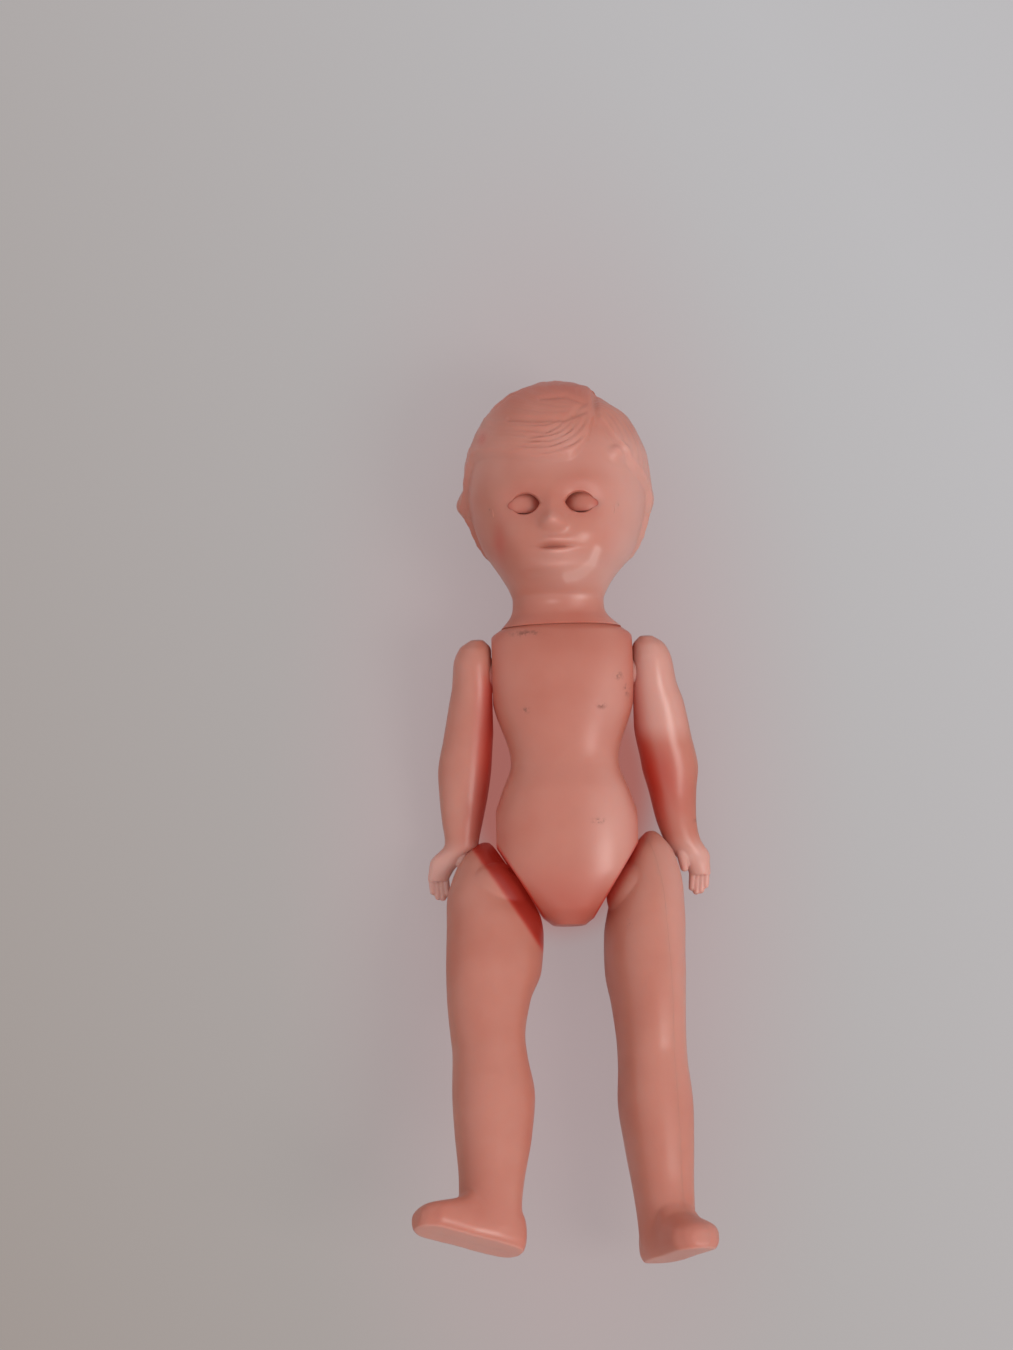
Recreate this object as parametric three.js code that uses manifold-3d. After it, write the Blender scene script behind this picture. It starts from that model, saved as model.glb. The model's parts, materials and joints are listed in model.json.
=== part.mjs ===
// A strung plastic doll lying on its back: +Y towards the crown, +X towards its left hand, +Z up.
// Head, arms and legs are hollow mouldings in two glued halves, held to the torso by elastic.
import * as THREE from 'three';
import { mergeVertices } from 'three/addons/utils/BufferGeometryUtils.js';
import Module from 'manifold-3d';

const wasm = await Module();
wasm.setup();

// Walls and clearances, in millimetres as all sizes here.
const wall = 1.4;
const limbWall = 1.2;
const seamGap = 0.2;
const running = 0.4;
const seated = 0.3;

// Torso: half widths and depths, with each drop measured down from the neck seat.
const torsoAxisHeight = 13.5;
const torsoLength = 67.7;
const neckSeatRadius = 10.2;
const shoulderHalfWidth = 17.2;
const shoulderDrop = 4;
const chestHalfWidth = 16;
const chestDepth = 11.8;
const chestDrop = 17;
const waistHalfWidth = 12.3;
const waistDepth = 10;
const waistDrop = 30.5;
const bellyHalfWidth = 14.8;
const bellyDepth = 12.6;
const bellyDrop = 38;
const hipHalfWidth = 16.9;
const hipDepth = 12.8;
const hipDrop = 45.5;
const seatDepth = 13.2;
const seatDrop = 55;
const torsoFullness = 2.35;

// Hips: a round leg top seats on a leaning face of the torso.
const hipLean = THREE.MathUtils.degToRad(32);
const hipSpread = 17.2;
const hipCentreRise = 6.3;
const hipCentreDrop = torsoLength - hipCentreRise;
const hipSeat = 7.3;
const hipDomeRadius = 8.6;
const hipMouthRadius = 1.5;
const hipTurnOutLimit = THREE.MathUtils.degToRad(33);
const hipTurnInLimit = THREE.MathUtils.degToRad(12);

// Shoulders.
const shoulderFace = 16;
const shoulderCentreDrop = 10.3;
const shoulderBossRadius = 4;
const shoulderBossLength = 2.2;

// Head: heights are measured up from the neck seat, depths from the neck's own axis.
const neckAxisHeight = 15;
const neckGap = 0.4;
const neckRadius = 9.3;
const neckHeight = 6;
const neckBossRadius = 5.4;
const neckBossLength = 1.8;
const chinHeight = 9.6;
const mouthHeight = 14.6;
const noseHeight = 20.6;
const eyeHeight = 25;
const headHeight = 56;
const headHalfWidth = 20.4;
const faceDepth = 23.6;
const headBackDepth = 20;
const headFullness = 2.15;
const hairThickness = 1.3;
const strandDepth = 0.42;
const strandCount = 19;
const strandSwirl = 2.2;
const crownSide = 7;
const crownHeight = 46.5;
const curlSide = 14.5;
const curlHeight = 36.5;
const curlRadius = 2.1;

// Sleep eyes: balls and lids on one axle that a weight turns.
const eyeSpacing = 6.6;
const eyeOpeningWidth = 6.4;
const eyeOpeningHeight = 4.5;
const lidRadius = 4.5;
const lidWall = 0.5;
const eyeBallRadius = 3.7;
const eyeSink = 0.7;
const axleRadius = 0.5;
const lugOffset = 12.9;
const lugWidth = 1.6;
const lugSize = 4.2;
const eyeArmLength = 11.5;
const eyeWeightRadius = 2.6;
const eyeWeightLength = 5.5;
const eyeArmLean = THREE.MathUtils.degToRad(15);
const lidLowEdge = THREE.MathUtils.degToRad(24);
const lidHighEdge = THREE.MathUtils.degToRad(96);

// Arms: drops are measured down from the shoulder's axis, reach outwards from the shoulder face.
const upperArmReach = 4.3;
const upperArmHalfWidth = 5;
const upperArmDepth = 6;
const elbowDrop = 21.4;
const elbowReach = 7.6;
const elbowHalfWidth = 6;
const elbowDepth = 5.9;
const wristDrop = 38.2;
const wristReach = 9.5;
const wristRadius = 3.8;
const wristForward = 3.4;
const palmLength = 8;
const palmHalfWidth = 3.4;
const palmDepth = 2.2;
const palmOffset = 3.8;
const fingerLength = 5;
const fingerRadius = 1.05;
const thumbRadius = 1.3;
const thumbLength = 5.4;

// Legs: drops are measured down from the hip's centre, along the leg's own axis.
const footTurnOut = THREE.MathUtils.degToRad(24);
const legLength = 81.6;
const thighHalfWidth = 8.1;
const thighDepth = 11.6;
const thighDrop = 8;
const kneeHalfWidth = 7.4;
const kneeDepth = 8;
const kneeDrop = 33.5;
const calfHalfWidth = 7.9;
const calfDepth = 9.2;
const calfDrop = 47;
const ankleHalfWidth = 6.4;
const ankleDepth = 7;
const ankleDrop = 67;
const footLength = 25.5;
const footHalfWidth = 5.6;
const footHeel = 7.4;
const soleTilt = THREE.MathUtils.degToRad(5);
const toeHeight = 5.4;
const instepHeight = 12.5;

// Pins, washers and elastic that string the doll.
const pinRadius = 0.7;
const pinHeadRadius = 2;
const pinHeadLength = 0.9;
const hipBallRadius = 2.8;
const washerThickness = 0.9;
const shoulderWasherRadius = 3;
const neckWasherRadius = 6.4;
const hipWasherRadius = 5.3;
const elasticRadius = 0.8;
const elasticSides = 8;
const hipFlare = THREE.MathUtils.degToRad(38);

// The pose in which it lies.
const headTurn = THREE.MathUtils.degToRad(-4);
const headLean = THREE.MathUtils.degToRad(0);
const rightArmSwing = THREE.MathUtils.degToRad(13);
const leftArmSwing = THREE.MathUtils.degToRad(12);
const rightLegSwing = THREE.MathUtils.degToRad(25);
const leftLegSwing = THREE.MathUtils.degToRad(11);
const rightLegTwist = THREE.MathUtils.degToRad(24);
const leftLegTwist = THREE.MathUtils.degToRad(-8);
const rightLegSpread = THREE.MathUtils.degToRad(-1);
const leftLegSpread = THREE.MathUtils.degToRad(2.2);

const skin = { color: 0xc98a79, roughness: 0.42, metalness: 0 };
const steel = { color: 0x9b9b98, roughness: 0.35, metalness: 0.9 };
const rubber = { color: 0xd9c9a4, roughness: 0.7, metalness: 0 };
const lead = { color: 0x6d7074, roughness: 0.6, metalness: 0.7 };
const white = { color: 0xece8df, roughness: 0.25, metalness: 0 };
const fibre = { color: 0x7b5a3c, roughness: 0.8, metalness: 0 };

const cutSize = 400;
const endCrowding = 0.35;
const leastRadius = 0.3;
const up = new THREE.Vector3(0, 0, 1);
const along = new THREE.Vector3(0, 1, 0);

// A closed geometry as a solid, whichever way its faces wind.
function solidOf(geometry) {
  const bare = geometry.clone();
  bare.deleteAttribute('normal');
  bare.deleteAttribute('uv');
  const merged = mergeVertices(bare, 1e-4);
  const triVerts = new Uint32Array(merged.index.array);
  const vertProperties = merged.attributes.position.array;
  const solid = new wasm.Manifold(new wasm.Mesh({ numProp: 3, vertProperties, triVerts }));
  if (solid.volume() > 0) return solid;
  for (let i = 0; i < triVerts.length; i += 3) {
    [triVerts[i + 1], triVerts[i + 2]] = [triVerts[i + 2], triVerts[i + 1]];
  }
  return new wasm.Manifold(new wasm.Mesh({ numProp: 3, vertProperties, triVerts }));
}

function geometryOf(solid) {
  const mesh = solid.getMesh();
  const points = new Float32Array(mesh.numVert * 3);
  for (let i = 0; i < mesh.numVert; i += 1) {
    points.set(mesh.vertProperties.subarray(i * mesh.numProp, i * mesh.numProp + 3), i * 3);
  }
  const geometry = new THREE.BufferGeometry();
  geometry.setAttribute('position', new THREE.BufferAttribute(points, 3));
  geometry.setIndex(new THREE.BufferAttribute(new Uint32Array(mesh.triVerts), 1));
  geometry.computeVertexNormals();
  return geometry;
}

function part(name, solid, finish) {
  const mesh = new THREE.Mesh(geometryOf(solid), new THREE.MeshStandardMaterial(finish));
  mesh.name = name;
  return mesh;
}

// The left limb's solid, turned into the right one's.
function sided(solid, side) {
  return side > 0 ? solid : solidOf(geometryOf(solid).scale(-1, 1, 1));
}

// A block that fills the space past a plane.
function beyond(normal, distance, centre = new THREE.Vector3()) {
  const block = new THREE.BoxGeometry(cutSize, cutSize, cutSize);
  const turn = new THREE.Quaternion().setFromUnitVectors(up, normal);
  const middle = centre.clone().addScaledVector(normal, distance + cutSize / 2);
  block.applyMatrix4(new THREE.Matrix4().compose(middle, turn, new THREE.Vector3(1, 1, 1)));
  return solidOf(block);
}

// A profile of [radius, distance] pairs turned about a line that leaves a point in a direction.
function turned(profile, from, direction, sides = 12) {
  const lathe = new THREE.LatheGeometry(profile.map(([r, d]) => new THREE.Vector2(r, d)), sides);
  const turn = new THREE.Quaternion().setFromUnitVectors(along, direction.clone().normalize());
  lathe.applyMatrix4(new THREE.Matrix4().compose(from, turn, new THREE.Vector3(1, 1, 1)));
  return solidOf(lathe);
}

function rod(from, to, radius, sides = 10) {
  const direction = to.clone().sub(from);
  const length = direction.length();
  return turned([[0, 0], [radius, 0], [radius, length], [0, length]], from, direction, sides);
}

// A tapered bar with round ends, whose end centres are the two points.
function finger(from, to, startRadius, endRadius, sides = 7) {
  const direction = to.clone().sub(from);
  const length = direction.length();
  const slant = Math.SQRT1_2;
  const profile = [
    [0, -startRadius], [startRadius * slant, -startRadius * slant], [startRadius, 0],
    [endRadius, length], [endRadius * slant, length + endRadius * slant], [0, length + endRadius],
  ];
  return turned(profile, from, direction, sides);
}

function ball(centre, radius, sides = 16) {
  const sphere = new THREE.SphereGeometry(radius, sides, sides / 2);
  return solidOf(sphere.translate(centre.x, centre.y, centre.z));
}

function ring(centre, direction, radius, tube) {
  const torus = new THREE.TorusGeometry(radius, tube, 6, 12);
  const turn = new THREE.Quaternion().setFromUnitVectors(up, direction.clone().normalize());
  torus.applyMatrix4(new THREE.Matrix4().compose(centre, turn, new THREE.Vector3(1, 1, 1)));
  return solidOf(torus);
}

// A smooth curve through rows of values that never swings past a row; the first value orders them.
function smoothRow(rows, place) {
  const last = rows.length - 1;
  const step = (i, c) => (rows[i + 1][c] - rows[i][c]) / (rows[i + 1][0] - rows[i][0]);
  const slope = (i, c) => {
    if (i === 0) return step(0, c);
    if (i === last) return step(last - 1, c);
    const before = step(i - 1, c);
    const after = step(i, c);
    return before * after <= 0 ? 0 : (2 * before * after) / (before + after);
  };
  let i = 0;
  while (i < last - 1 && place > rows[i + 1][0]) i += 1;
  const width = rows[i + 1][0] - rows[i][0];
  const t = THREE.MathUtils.clamp((place - rows[i][0]) / width, 0, 1);
  return rows[i].map((value, c) => {
    if (c === 0) return place;
    const rise = rows[i + 1][c] - value;
    const a = slope(i, c) * width;
    const b = slope(i + 1, c) * width;
    return value + t * a + t * t * (3 * rise - 2 * a - b) + t * t * t * (a + b - 2 * rise);
  });
}

// A closed skin over rings of equal count, each ring a list of points.
function skinOver(rings) {
  const sides = rings[0].length;
  const points = rings.flat();
  const middle = (list) => list.reduce((sum, p) => sum.add(p), new THREE.Vector3())
    .divideScalar(list.length);
  const start = points.push(middle(rings[0])) - 1;
  const end = points.push(middle(rings[rings.length - 1])) - 1;
  const faces = [];
  for (let k = 0; k < sides; k += 1) {
    const next = (k + 1) % sides;
    for (let i = 0; i < rings.length - 1; i += 1) {
      const low = i * sides;
      const high = low + sides;
      faces.push(low + k, low + next, high + k, low + next, high + next, high + k);
    }
    const top = (rings.length - 1) * sides;
    faces.push(start, next, k, end, top + k, top + next);
  }
  const geometry = new THREE.BufferGeometry().setFromPoints(points);
  geometry.setIndex(faces);
  return geometry;
}

// Rows are [height, side, forward, half width, front depth, back depth].
// The rings crowd towards both ends, and an inset thins the rows to an inner skin.
function loft(rows, { sides = 20, rings = 20, fullness = 2, inset = 0, relief = null }) {
  const low = rows[0][0] + inset;
  const high = rows[rows.length - 1][0] - inset;
  const power = 2 / fullness;
  const list = [];
  for (let i = 0; i <= rings; i += 1) {
    const even = i / rings;
    const crowded = 0.5 - 0.5 * Math.cos(Math.PI * even);
    const place = THREE.MathUtils.lerp(low, high, THREE.MathUtils.lerp(even, crowded, endCrowding));
    const [height, side, forward, halfWidth, front, back] = smoothRow(rows, place);
    const ringPoints = [];
    for (let k = 0; k < sides; k += 1) {
      const angle = (2 * Math.PI * k) / sides;
      const across = Math.sign(Math.cos(angle)) * Math.abs(Math.cos(angle)) ** power;
      const ahead = Math.sign(Math.sin(angle)) * Math.abs(Math.sin(angle)) ** power;
      const depth = Math.max(leastRadius, (ahead > 0 ? front : back) - inset);
      const point = new THREE.Vector3(
        side + Math.max(leastRadius, halfWidth - inset) * across,
        height,
        forward + depth * ahead,
      );
      ringPoints.push(relief ? relief(point) : point);
    }
    list.push(ringPoints);
  }
  return skinOver(list);
}

// Where each hip's centre is, and the direction from it into the torso.
function hip(side) {
  return {
    centre: new THREE.Vector3(side * hipSpread, -hipCentreDrop, torsoAxisHeight),
    inward: new THREE.Vector3(-side * Math.cos(hipLean), Math.sin(hipLean), 0),
  };
}

function shoulder(side) {
  return new THREE.Vector3(side * shoulderFace, -shoulderCentreDrop, torsoAxisHeight);
}

const torsoRows = [
  [-torsoLength, 0, 0, 3.6, 5.5, 7],
  [-torsoLength + 4, 0, 0, 8.6, 9.5, 11.5],
  [-seatDrop, 0, 0, hipHalfWidth - 0.6, hipDepth - 0.8, seatDepth],
  [-hipDrop, 0, 0, hipHalfWidth, hipDepth, seatDepth - 0.8],
  [-bellyDrop, 0, 0, bellyHalfWidth, bellyDepth, bellyDepth - 1.8],
  [-waistDrop, 0, 0, waistHalfWidth, waistDepth + 0.8, waistDepth - 0.6],
  [-chestDrop, 0, 0, chestHalfWidth, chestDepth, chestDepth - 0.6],
  [-shoulderDrop * 1.8, 0, 0, shoulderHalfWidth, chestDepth - 0.5, chestDepth - 0.3],
  [-shoulderDrop, 0, 0, shoulderHalfWidth - 0.8, chestDepth - 1.4, chestDepth - 1],
  [-shoulderDrop * 0.45, 0, 0, neckSeatRadius + 3.4, neckSeatRadius - 0.9, neckSeatRadius - 0.6],
  [0, 0, 0, neckSeatRadius, neckSeatRadius - 1.2, neckSeatRadius - 1.2],
];

// The torso's shell, with its hip and shoulder faces, seats and neck hole.
function torsoShell() {
  const lift = (geometry) => solidOf(geometry.translate(0, 0, torsoAxisHeight));
  let outer = lift(loft(torsoRows, { sides: 24, rings: 17, fullness: torsoFullness }));
  let inner = lift(loft(torsoRows, { sides: 16, rings: 9, fullness: torsoFullness, inset: wall }));
  const holes = [];
  for (const side of [-1, 1]) {
    const { centre, inward } = hip(side);
    const outward = inward.clone().negate();
    outer = outer.subtract(beyond(outward, -hipSeat, centre));
    inner = inner.subtract(beyond(outward, -hipSeat - wall, centre));
    holes.push(ball(centre, hipDomeRadius + running, 20));
    const sideways = new THREE.Vector3(side, 0, 0);
    outer = outer.subtract(beyond(sideways, shoulderFace));
    inner = inner.subtract(beyond(sideways, shoulderFace - wall));
    const reach = sideways.clone().multiplyScalar(shoulderBossLength * 2);
    const middle = shoulder(side);
    const near = middle.clone().sub(reach);
    const far = middle.clone().add(reach);
    holes.push(rod(near, far, shoulderBossRadius + running, 18));
  }
  const neckFrom = new THREE.Vector3(0, -neckBossLength * 3, neckAxisHeight);
  const neckTo = new THREE.Vector3(0, neckBossLength, neckAxisHeight);
  holes.push(rod(neckFrom, neckTo, neckBossRadius + running, 20));
  const shell = outer.subtract(inner);
  return holes.reduce((solid, hole) => solid.subtract(hole), shell);
}

function torso() {
  const shell = torsoShell();
  const back = new THREE.Vector3(0, 0, -1);
  const front = shell.subtract(beyond(back, -torsoAxisHeight - seamGap / 2));
  const rear = shell.subtract(beyond(up, torsoAxisHeight - seamGap / 2));
  return [part('torso_front', front, skin), part('torso_back', rear, skin)];
}

// The pin's collar for the elastic lies this far past the wall that the pin goes through.
const collarReach = elasticRadius * 2 + seated;
const collarRadius = pinRadius + seated + elasticRadius;
const strandOffset = pinHeadRadius + seated + elasticRadius;

// Elastic rings round two pins with a straight strand between them, carried in front of the pin heads.
function strung(fromPlace, toPlace) {
  const offset = up.clone().multiplyScalar(strandOffset);
  const start = fromPlace.centre.clone().add(offset);
  const end = toPlace.centre.clone().add(offset);
  let solid = rod(start, end, elasticRadius, elasticSides);
  for (const { centre, direction } of [fromPlace, toPlace]) {
    const foot = centre.clone().addScaledVector(up, collarRadius);
    const head = centre.clone().add(offset);
    solid = solid.add(ring(centre, direction, collarRadius, elasticRadius));
    solid = solid.add(rod(foot, head, elasticRadius, elasticSides));
  }
  return solid;
}

const shoulderCollar = Math.max(shoulderBossLength, wall) + collarReach;
const hipCollar = hipSeat + wall + collarReach;
const neckCollar = Math.max(neckBossLength, wall) + collarReach;

function elastics() {
  const armPlace = (side) => ({
    centre: shoulder(side).add(new THREE.Vector3(-side * shoulderCollar, 0, 0)),
    direction: new THREE.Vector3(side, 0, 0),
  });
  const legPlace = (side) => {
    const { centre, inward } = hip(side);
    return { centre: centre.clone().addScaledVector(inward, hipCollar), direction: inward };
  };
  const legs = legPlace(-1);
  const low = new THREE.Vector3(0, legs.centre.y, legs.centre.z + strandOffset);
  const loopRadius = elasticRadius * 2 + seated;
  const loop = ring(low, new THREE.Vector3(1, 0, 0), loopRadius, elasticRadius);
  const neck = new THREE.Vector3(0, neckGap - neckCollar, neckAxisHeight);
  const behind = neck.clone().addScaledVector(up, -strandOffset);
  const hang = low.clone().add(new THREE.Vector3(0, loopRadius, 0));
  const neckElastic = ring(neck, along, collarRadius, elasticRadius)
    .add(rod(neck.clone().addScaledVector(up, -collarRadius), behind, elasticRadius, elasticSides))
    .add(rod(behind, hang, elasticRadius, elasticSides))
    .add(loop);
  return [
    part('arm_elastic', strung(armPlace(-1), armPlace(1)), rubber),
    part('leg_elastic', strung(legs, legPlace(1)), rubber),
    part('neck_elastic', neckElastic, rubber),
  ];
}

// A pin whose big head bears at one end and whose small head holds the elastic at the other.
function pin(from, direction, headStart, collar) {
  const tail = collar + elasticRadius + seated;
  const profile = [
    [0, headStart - pinHeadLength], [pinHeadRadius, headStart - pinHeadLength],
    [pinHeadRadius, headStart], [pinRadius, headStart],
    [pinRadius, tail], [pinHeadRadius, tail],
    [pinHeadRadius, tail + pinHeadLength], [0, tail + pinHeadLength],
  ];
  return turned(profile, from, direction, 10);
}

function washer(from, direction, start, radius, bore) {
  const end = start + washerThickness;
  const profile = [[bore, start], [radius, start], [radius, end], [bore, end], [bore, start]];
  return turned(profile, from, direction, 16);
}

// A round swelling of height one about a place, fading over a width and a height.
function bump(x, y, x0, y0, width, height) {
  return Math.exp(-(((x - x0) / width) ** 2) - ((y - y0) / height) ** 2);
}

// Hairline height round the head, by the angle from the face towards its left, in degrees.
const hairline = [
  [-180, 13], [-120, 15], [-100, 20], [-88, 27], [-74, 32.5], [-58, 37.5], [-40, 37.2], [-28, 36.4],
  [-14, 35.3], [0, 34.6], [9, 34.8], [16, 36.6], [22, 39.6], [29, 44], [34, 43], [42, 38.6],
  [52, 34.5], [66, 32], [80, 30], [90, 25.5], [100, 20], [120, 15], [180, 13],
];

const crown = new THREE.Vector3(crownSide, crownHeight - eyeHeight, faceDepth - 8).normalize();
const crownEast = new THREE.Vector3().crossVectors(along, crown).normalize();
const crownNorth = new THREE.Vector3().crossVectors(crown, crownEast);

// How far the hair stands off the scalp: a soft edge at the hairline and strands that sweep from the crown.
function hairAt(point) {
  const angle = THREE.MathUtils.radToDeg(Math.atan2(point.x, point.z));
  const edge = smoothRow(hairline, angle)[1];
  const cover = THREE.MathUtils.smoothstep(point.y, edge - 0.9, edge + 0.9);
  const from = new THREE.Vector3(point.x, point.y - eyeHeight, point.z).normalize();
  const away = Math.acos(THREE.MathUtils.clamp(from.dot(crown), -1, 1));
  const round = Math.atan2(from.dot(crownNorth), from.dot(crownEast));
  const strand = Math.sin(strandCount * (round + strandSwirl * away * 0.3)) * Math.min(1, away * 2.5);
  return cover * (hairThickness + strandDepth * strand);
}

// The face's features, as a rise of the front of the head.
function faceRise(x, y) {
  const side = Math.abs(x);
  return 2.7 * bump(x, y, 0, noseHeight, 2.2, 1.9)
    + 0.8 * bump(x, y, 0, noseHeight + 3.2, 2, 2.8)
    + 0.7 * bump(side, y, 1.9, noseHeight - 0.8, 1, 1)
    - 1.4 * bump(side, y, eyeSpacing, eyeHeight, 4.6, 3.4)
    + 0.4 * bump(side, y, eyeSpacing, eyeHeight + 4.8, 5, 2)
    + 1.2 * bump(side, y, 9.5, mouthHeight + 1.5, 4.5, 4.5)
    + 1 * bump(x, y, 0, mouthHeight + 1.2, 2.9, 0.9)
    - 0.9 * bump(x, y, 0, mouthHeight, 3.7, 0.5)
    + 1 * bump(x, y, 0, mouthHeight - 1.3, 2.5, 0.9)
    - 0.5 * bump(x, y, 0, mouthHeight - 3.1, 3.4, 0.9)
    + 1.5 * bump(x, y, 0, chinHeight + 0.8, 4, 2.6);
}

function headRelief(point) {
  const lifted = point.clone();
  if (point.z > 0) lifted.z += faceRise(point.x, point.y) * THREE.MathUtils.smoothstep(point.z, 4, 14);
  const outward = new THREE.Vector3(point.x, Math.max(0, point.y - eyeHeight), point.z).normalize();
  const ear = 1.3 * bump(point.y, point.z, eyeHeight - 1, -1.5, 3, 2.6);
  const curlRise = point.z > 0 ? hairThickness : 0;
  const curl = curlRise * bump(point.x, point.y, curlSide, curlHeight, curlRadius, curlRadius);
  return lifted.addScaledVector(outward, hairAt(point) + ear + curl);
}

const headRows = [
  [0, 0, 0, neckRadius + 0.6, neckRadius - 0.3, neckRadius - 0.6],
  [neckHeight * 0.4, 0, 0, neckRadius + 0.3, neckRadius - 0.5, neckRadius - 0.7],
  [neckHeight, 0, 0, neckRadius, neckRadius, neckRadius - 0.2],
  [neckHeight + 2.4, 0, 0, neckRadius + 1.2, neckRadius + 4.2, neckRadius + 1.2],
  [neckHeight + 5.5, 0, 0, headHalfWidth - 7.8, faceDepth - 3.4, neckRadius + 3.4],
  [neckHeight + 9, 0, 0, headHalfWidth - 4.8, faceDepth - 1, headBackDepth - 4.8],
  [headHeight * 0.33, 0, 0, headHalfWidth - 2.8, faceDepth - 0.2, headBackDepth - 3],
  [headHeight * 0.43, 0, 0, headHalfWidth - 1, faceDepth, headBackDepth - 1.7],
  [headHeight * 0.53, 0, 0, headHalfWidth, faceDepth - 0.3, headBackDepth - 1.3],
  [headHeight * 0.66, 0, 0, headHalfWidth - 0.5, faceDepth - 1.2, headBackDepth - 1.2],
  [headHeight * 0.77, 0, 0, headHalfWidth - 2.6, faceDepth - 3.4, headBackDepth - 2.4],
  [headHeight * 0.86, 0, 0, headHalfWidth - 5.6, faceDepth - 7, headBackDepth - 4.8],
  [headHeight * 0.93, 0, 0, headHalfWidth - 9.8, faceDepth - 11.6, headBackDepth - 8.6],
  [headHeight - 1.4, 0, 0, 5, 5.6, 5.4],
];

// How deep the plain face lies at a point, and so where an eye sits behind it.
function faceSurface(x, y) {
  const [, , , halfWidth, front] = smoothRow(headRows, y);
  const bare = front * (1 - (Math.abs(x) / halfWidth) ** headFullness) ** (1 / headFullness);
  return bare + faceRise(x, y);
}

const eyeDepth = faceSurface(eyeSpacing, eyeHeight) - eyeSink - lidRadius;
const eyeCentre = (side) => new THREE.Vector3(side * eyeSpacing, eyeHeight, eyeDepth);

// An almond opening through the face in front of one eye.
function eyeOpening(side) {
  const half = eyeOpeningWidth / 2;
  const rise = eyeOpeningHeight;
  const almond = new THREE.Shape();
  almond.moveTo(-half, 0);
  almond.bezierCurveTo(-half * 0.7, rise * 0.66, half * 0.7, rise * 0.66, half, 0);
  almond.bezierCurveTo(half * 0.7, -rise * 0.66, -half * 0.7, -rise * 0.66, -half, 0);
  const reach = { depth: faceDepth, bevelEnabled: false, curveSegments: 9 };
  const cut = new THREE.ExtrudeGeometry(almond, reach);
  return solidOf(cut.translate(side * eyeSpacing, eyeHeight, eyeDepth));
}

function headShell() {
  const moulding = { sides: 44, rings: 36, fullness: headFullness, relief: headRelief };
  const outer = solidOf(loft(headRows, moulding));
  const hollow = { sides: 20, rings: 13, fullness: headFullness, inset: wall };
  let shell = outer.subtract(solidOf(loft(headRows, hollow)));
  const bossEnd = new THREE.Vector3(0, -neckBossLength, 0);
  shell = shell.add(rod(bossEnd, new THREE.Vector3(0, wall * 0.5, 0), neckBossRadius, 24));
  const bore = pinRadius + running;
  const boreEnd = new THREE.Vector3(0, wall * 2, 0);
  shell = shell.subtract(rod(bossEnd.clone().multiplyScalar(2), boreEnd, bore, 16));
  for (const side of [-1, 1]) {
    const lugReach = Math.sqrt(1 - (lugOffset / headHalfWidth) ** 2) * faceDepth - wall / 2;
    const lug = new THREE.BoxGeometry(lugWidth, lugSize, lugReach - eyeDepth + lugSize / 2);
    lug.translate(side * lugOffset, eyeHeight, (lugReach + eyeDepth - lugSize / 2) / 2);
    const end = new THREE.Vector3(side * (lugOffset + lugWidth), eyeHeight, eyeDepth);
    const start = new THREE.Vector3(side * (lugOffset - lugWidth), eyeHeight, eyeDepth);
    shell = shell
      .subtract(ball(eyeCentre(side), lidRadius + running, 18))
      .add(solidOf(lug))
      .subtract(rod(start, end, axleRadius + seated, 12))
      .subtract(eyeOpening(side));
  }
  return shell;
}

function head() {
  const shell = headShell();
  const back = new THREE.Vector3(0, 0, -1);
  const group = new THREE.Group();
  group.add(part('head_face', shell.subtract(beyond(back, -seamGap / 2)), skin));
  group.add(part('head_back', shell.subtract(beyond(up, -seamGap / 2)), skin));
  const origin = new THREE.Vector3();
  const down = new THREE.Vector3(0, -1, 0);
  const washerStart = -wall - seated - washerThickness;
  const neckWasher = washer(origin, down, washerStart, neckWasherRadius, pinRadius + seated);
  group.add(part('neck_washer', neckWasher, fibre));
  group.add(part('neck_pin', pin(origin, down, washerStart - seated, neckCollar), steel));
  group.add(eyes());
  group.position.set(0, neckGap, neckAxisHeight);
  group.rotation.set(0, headTurn, headLean);
  return group;
}

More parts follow.
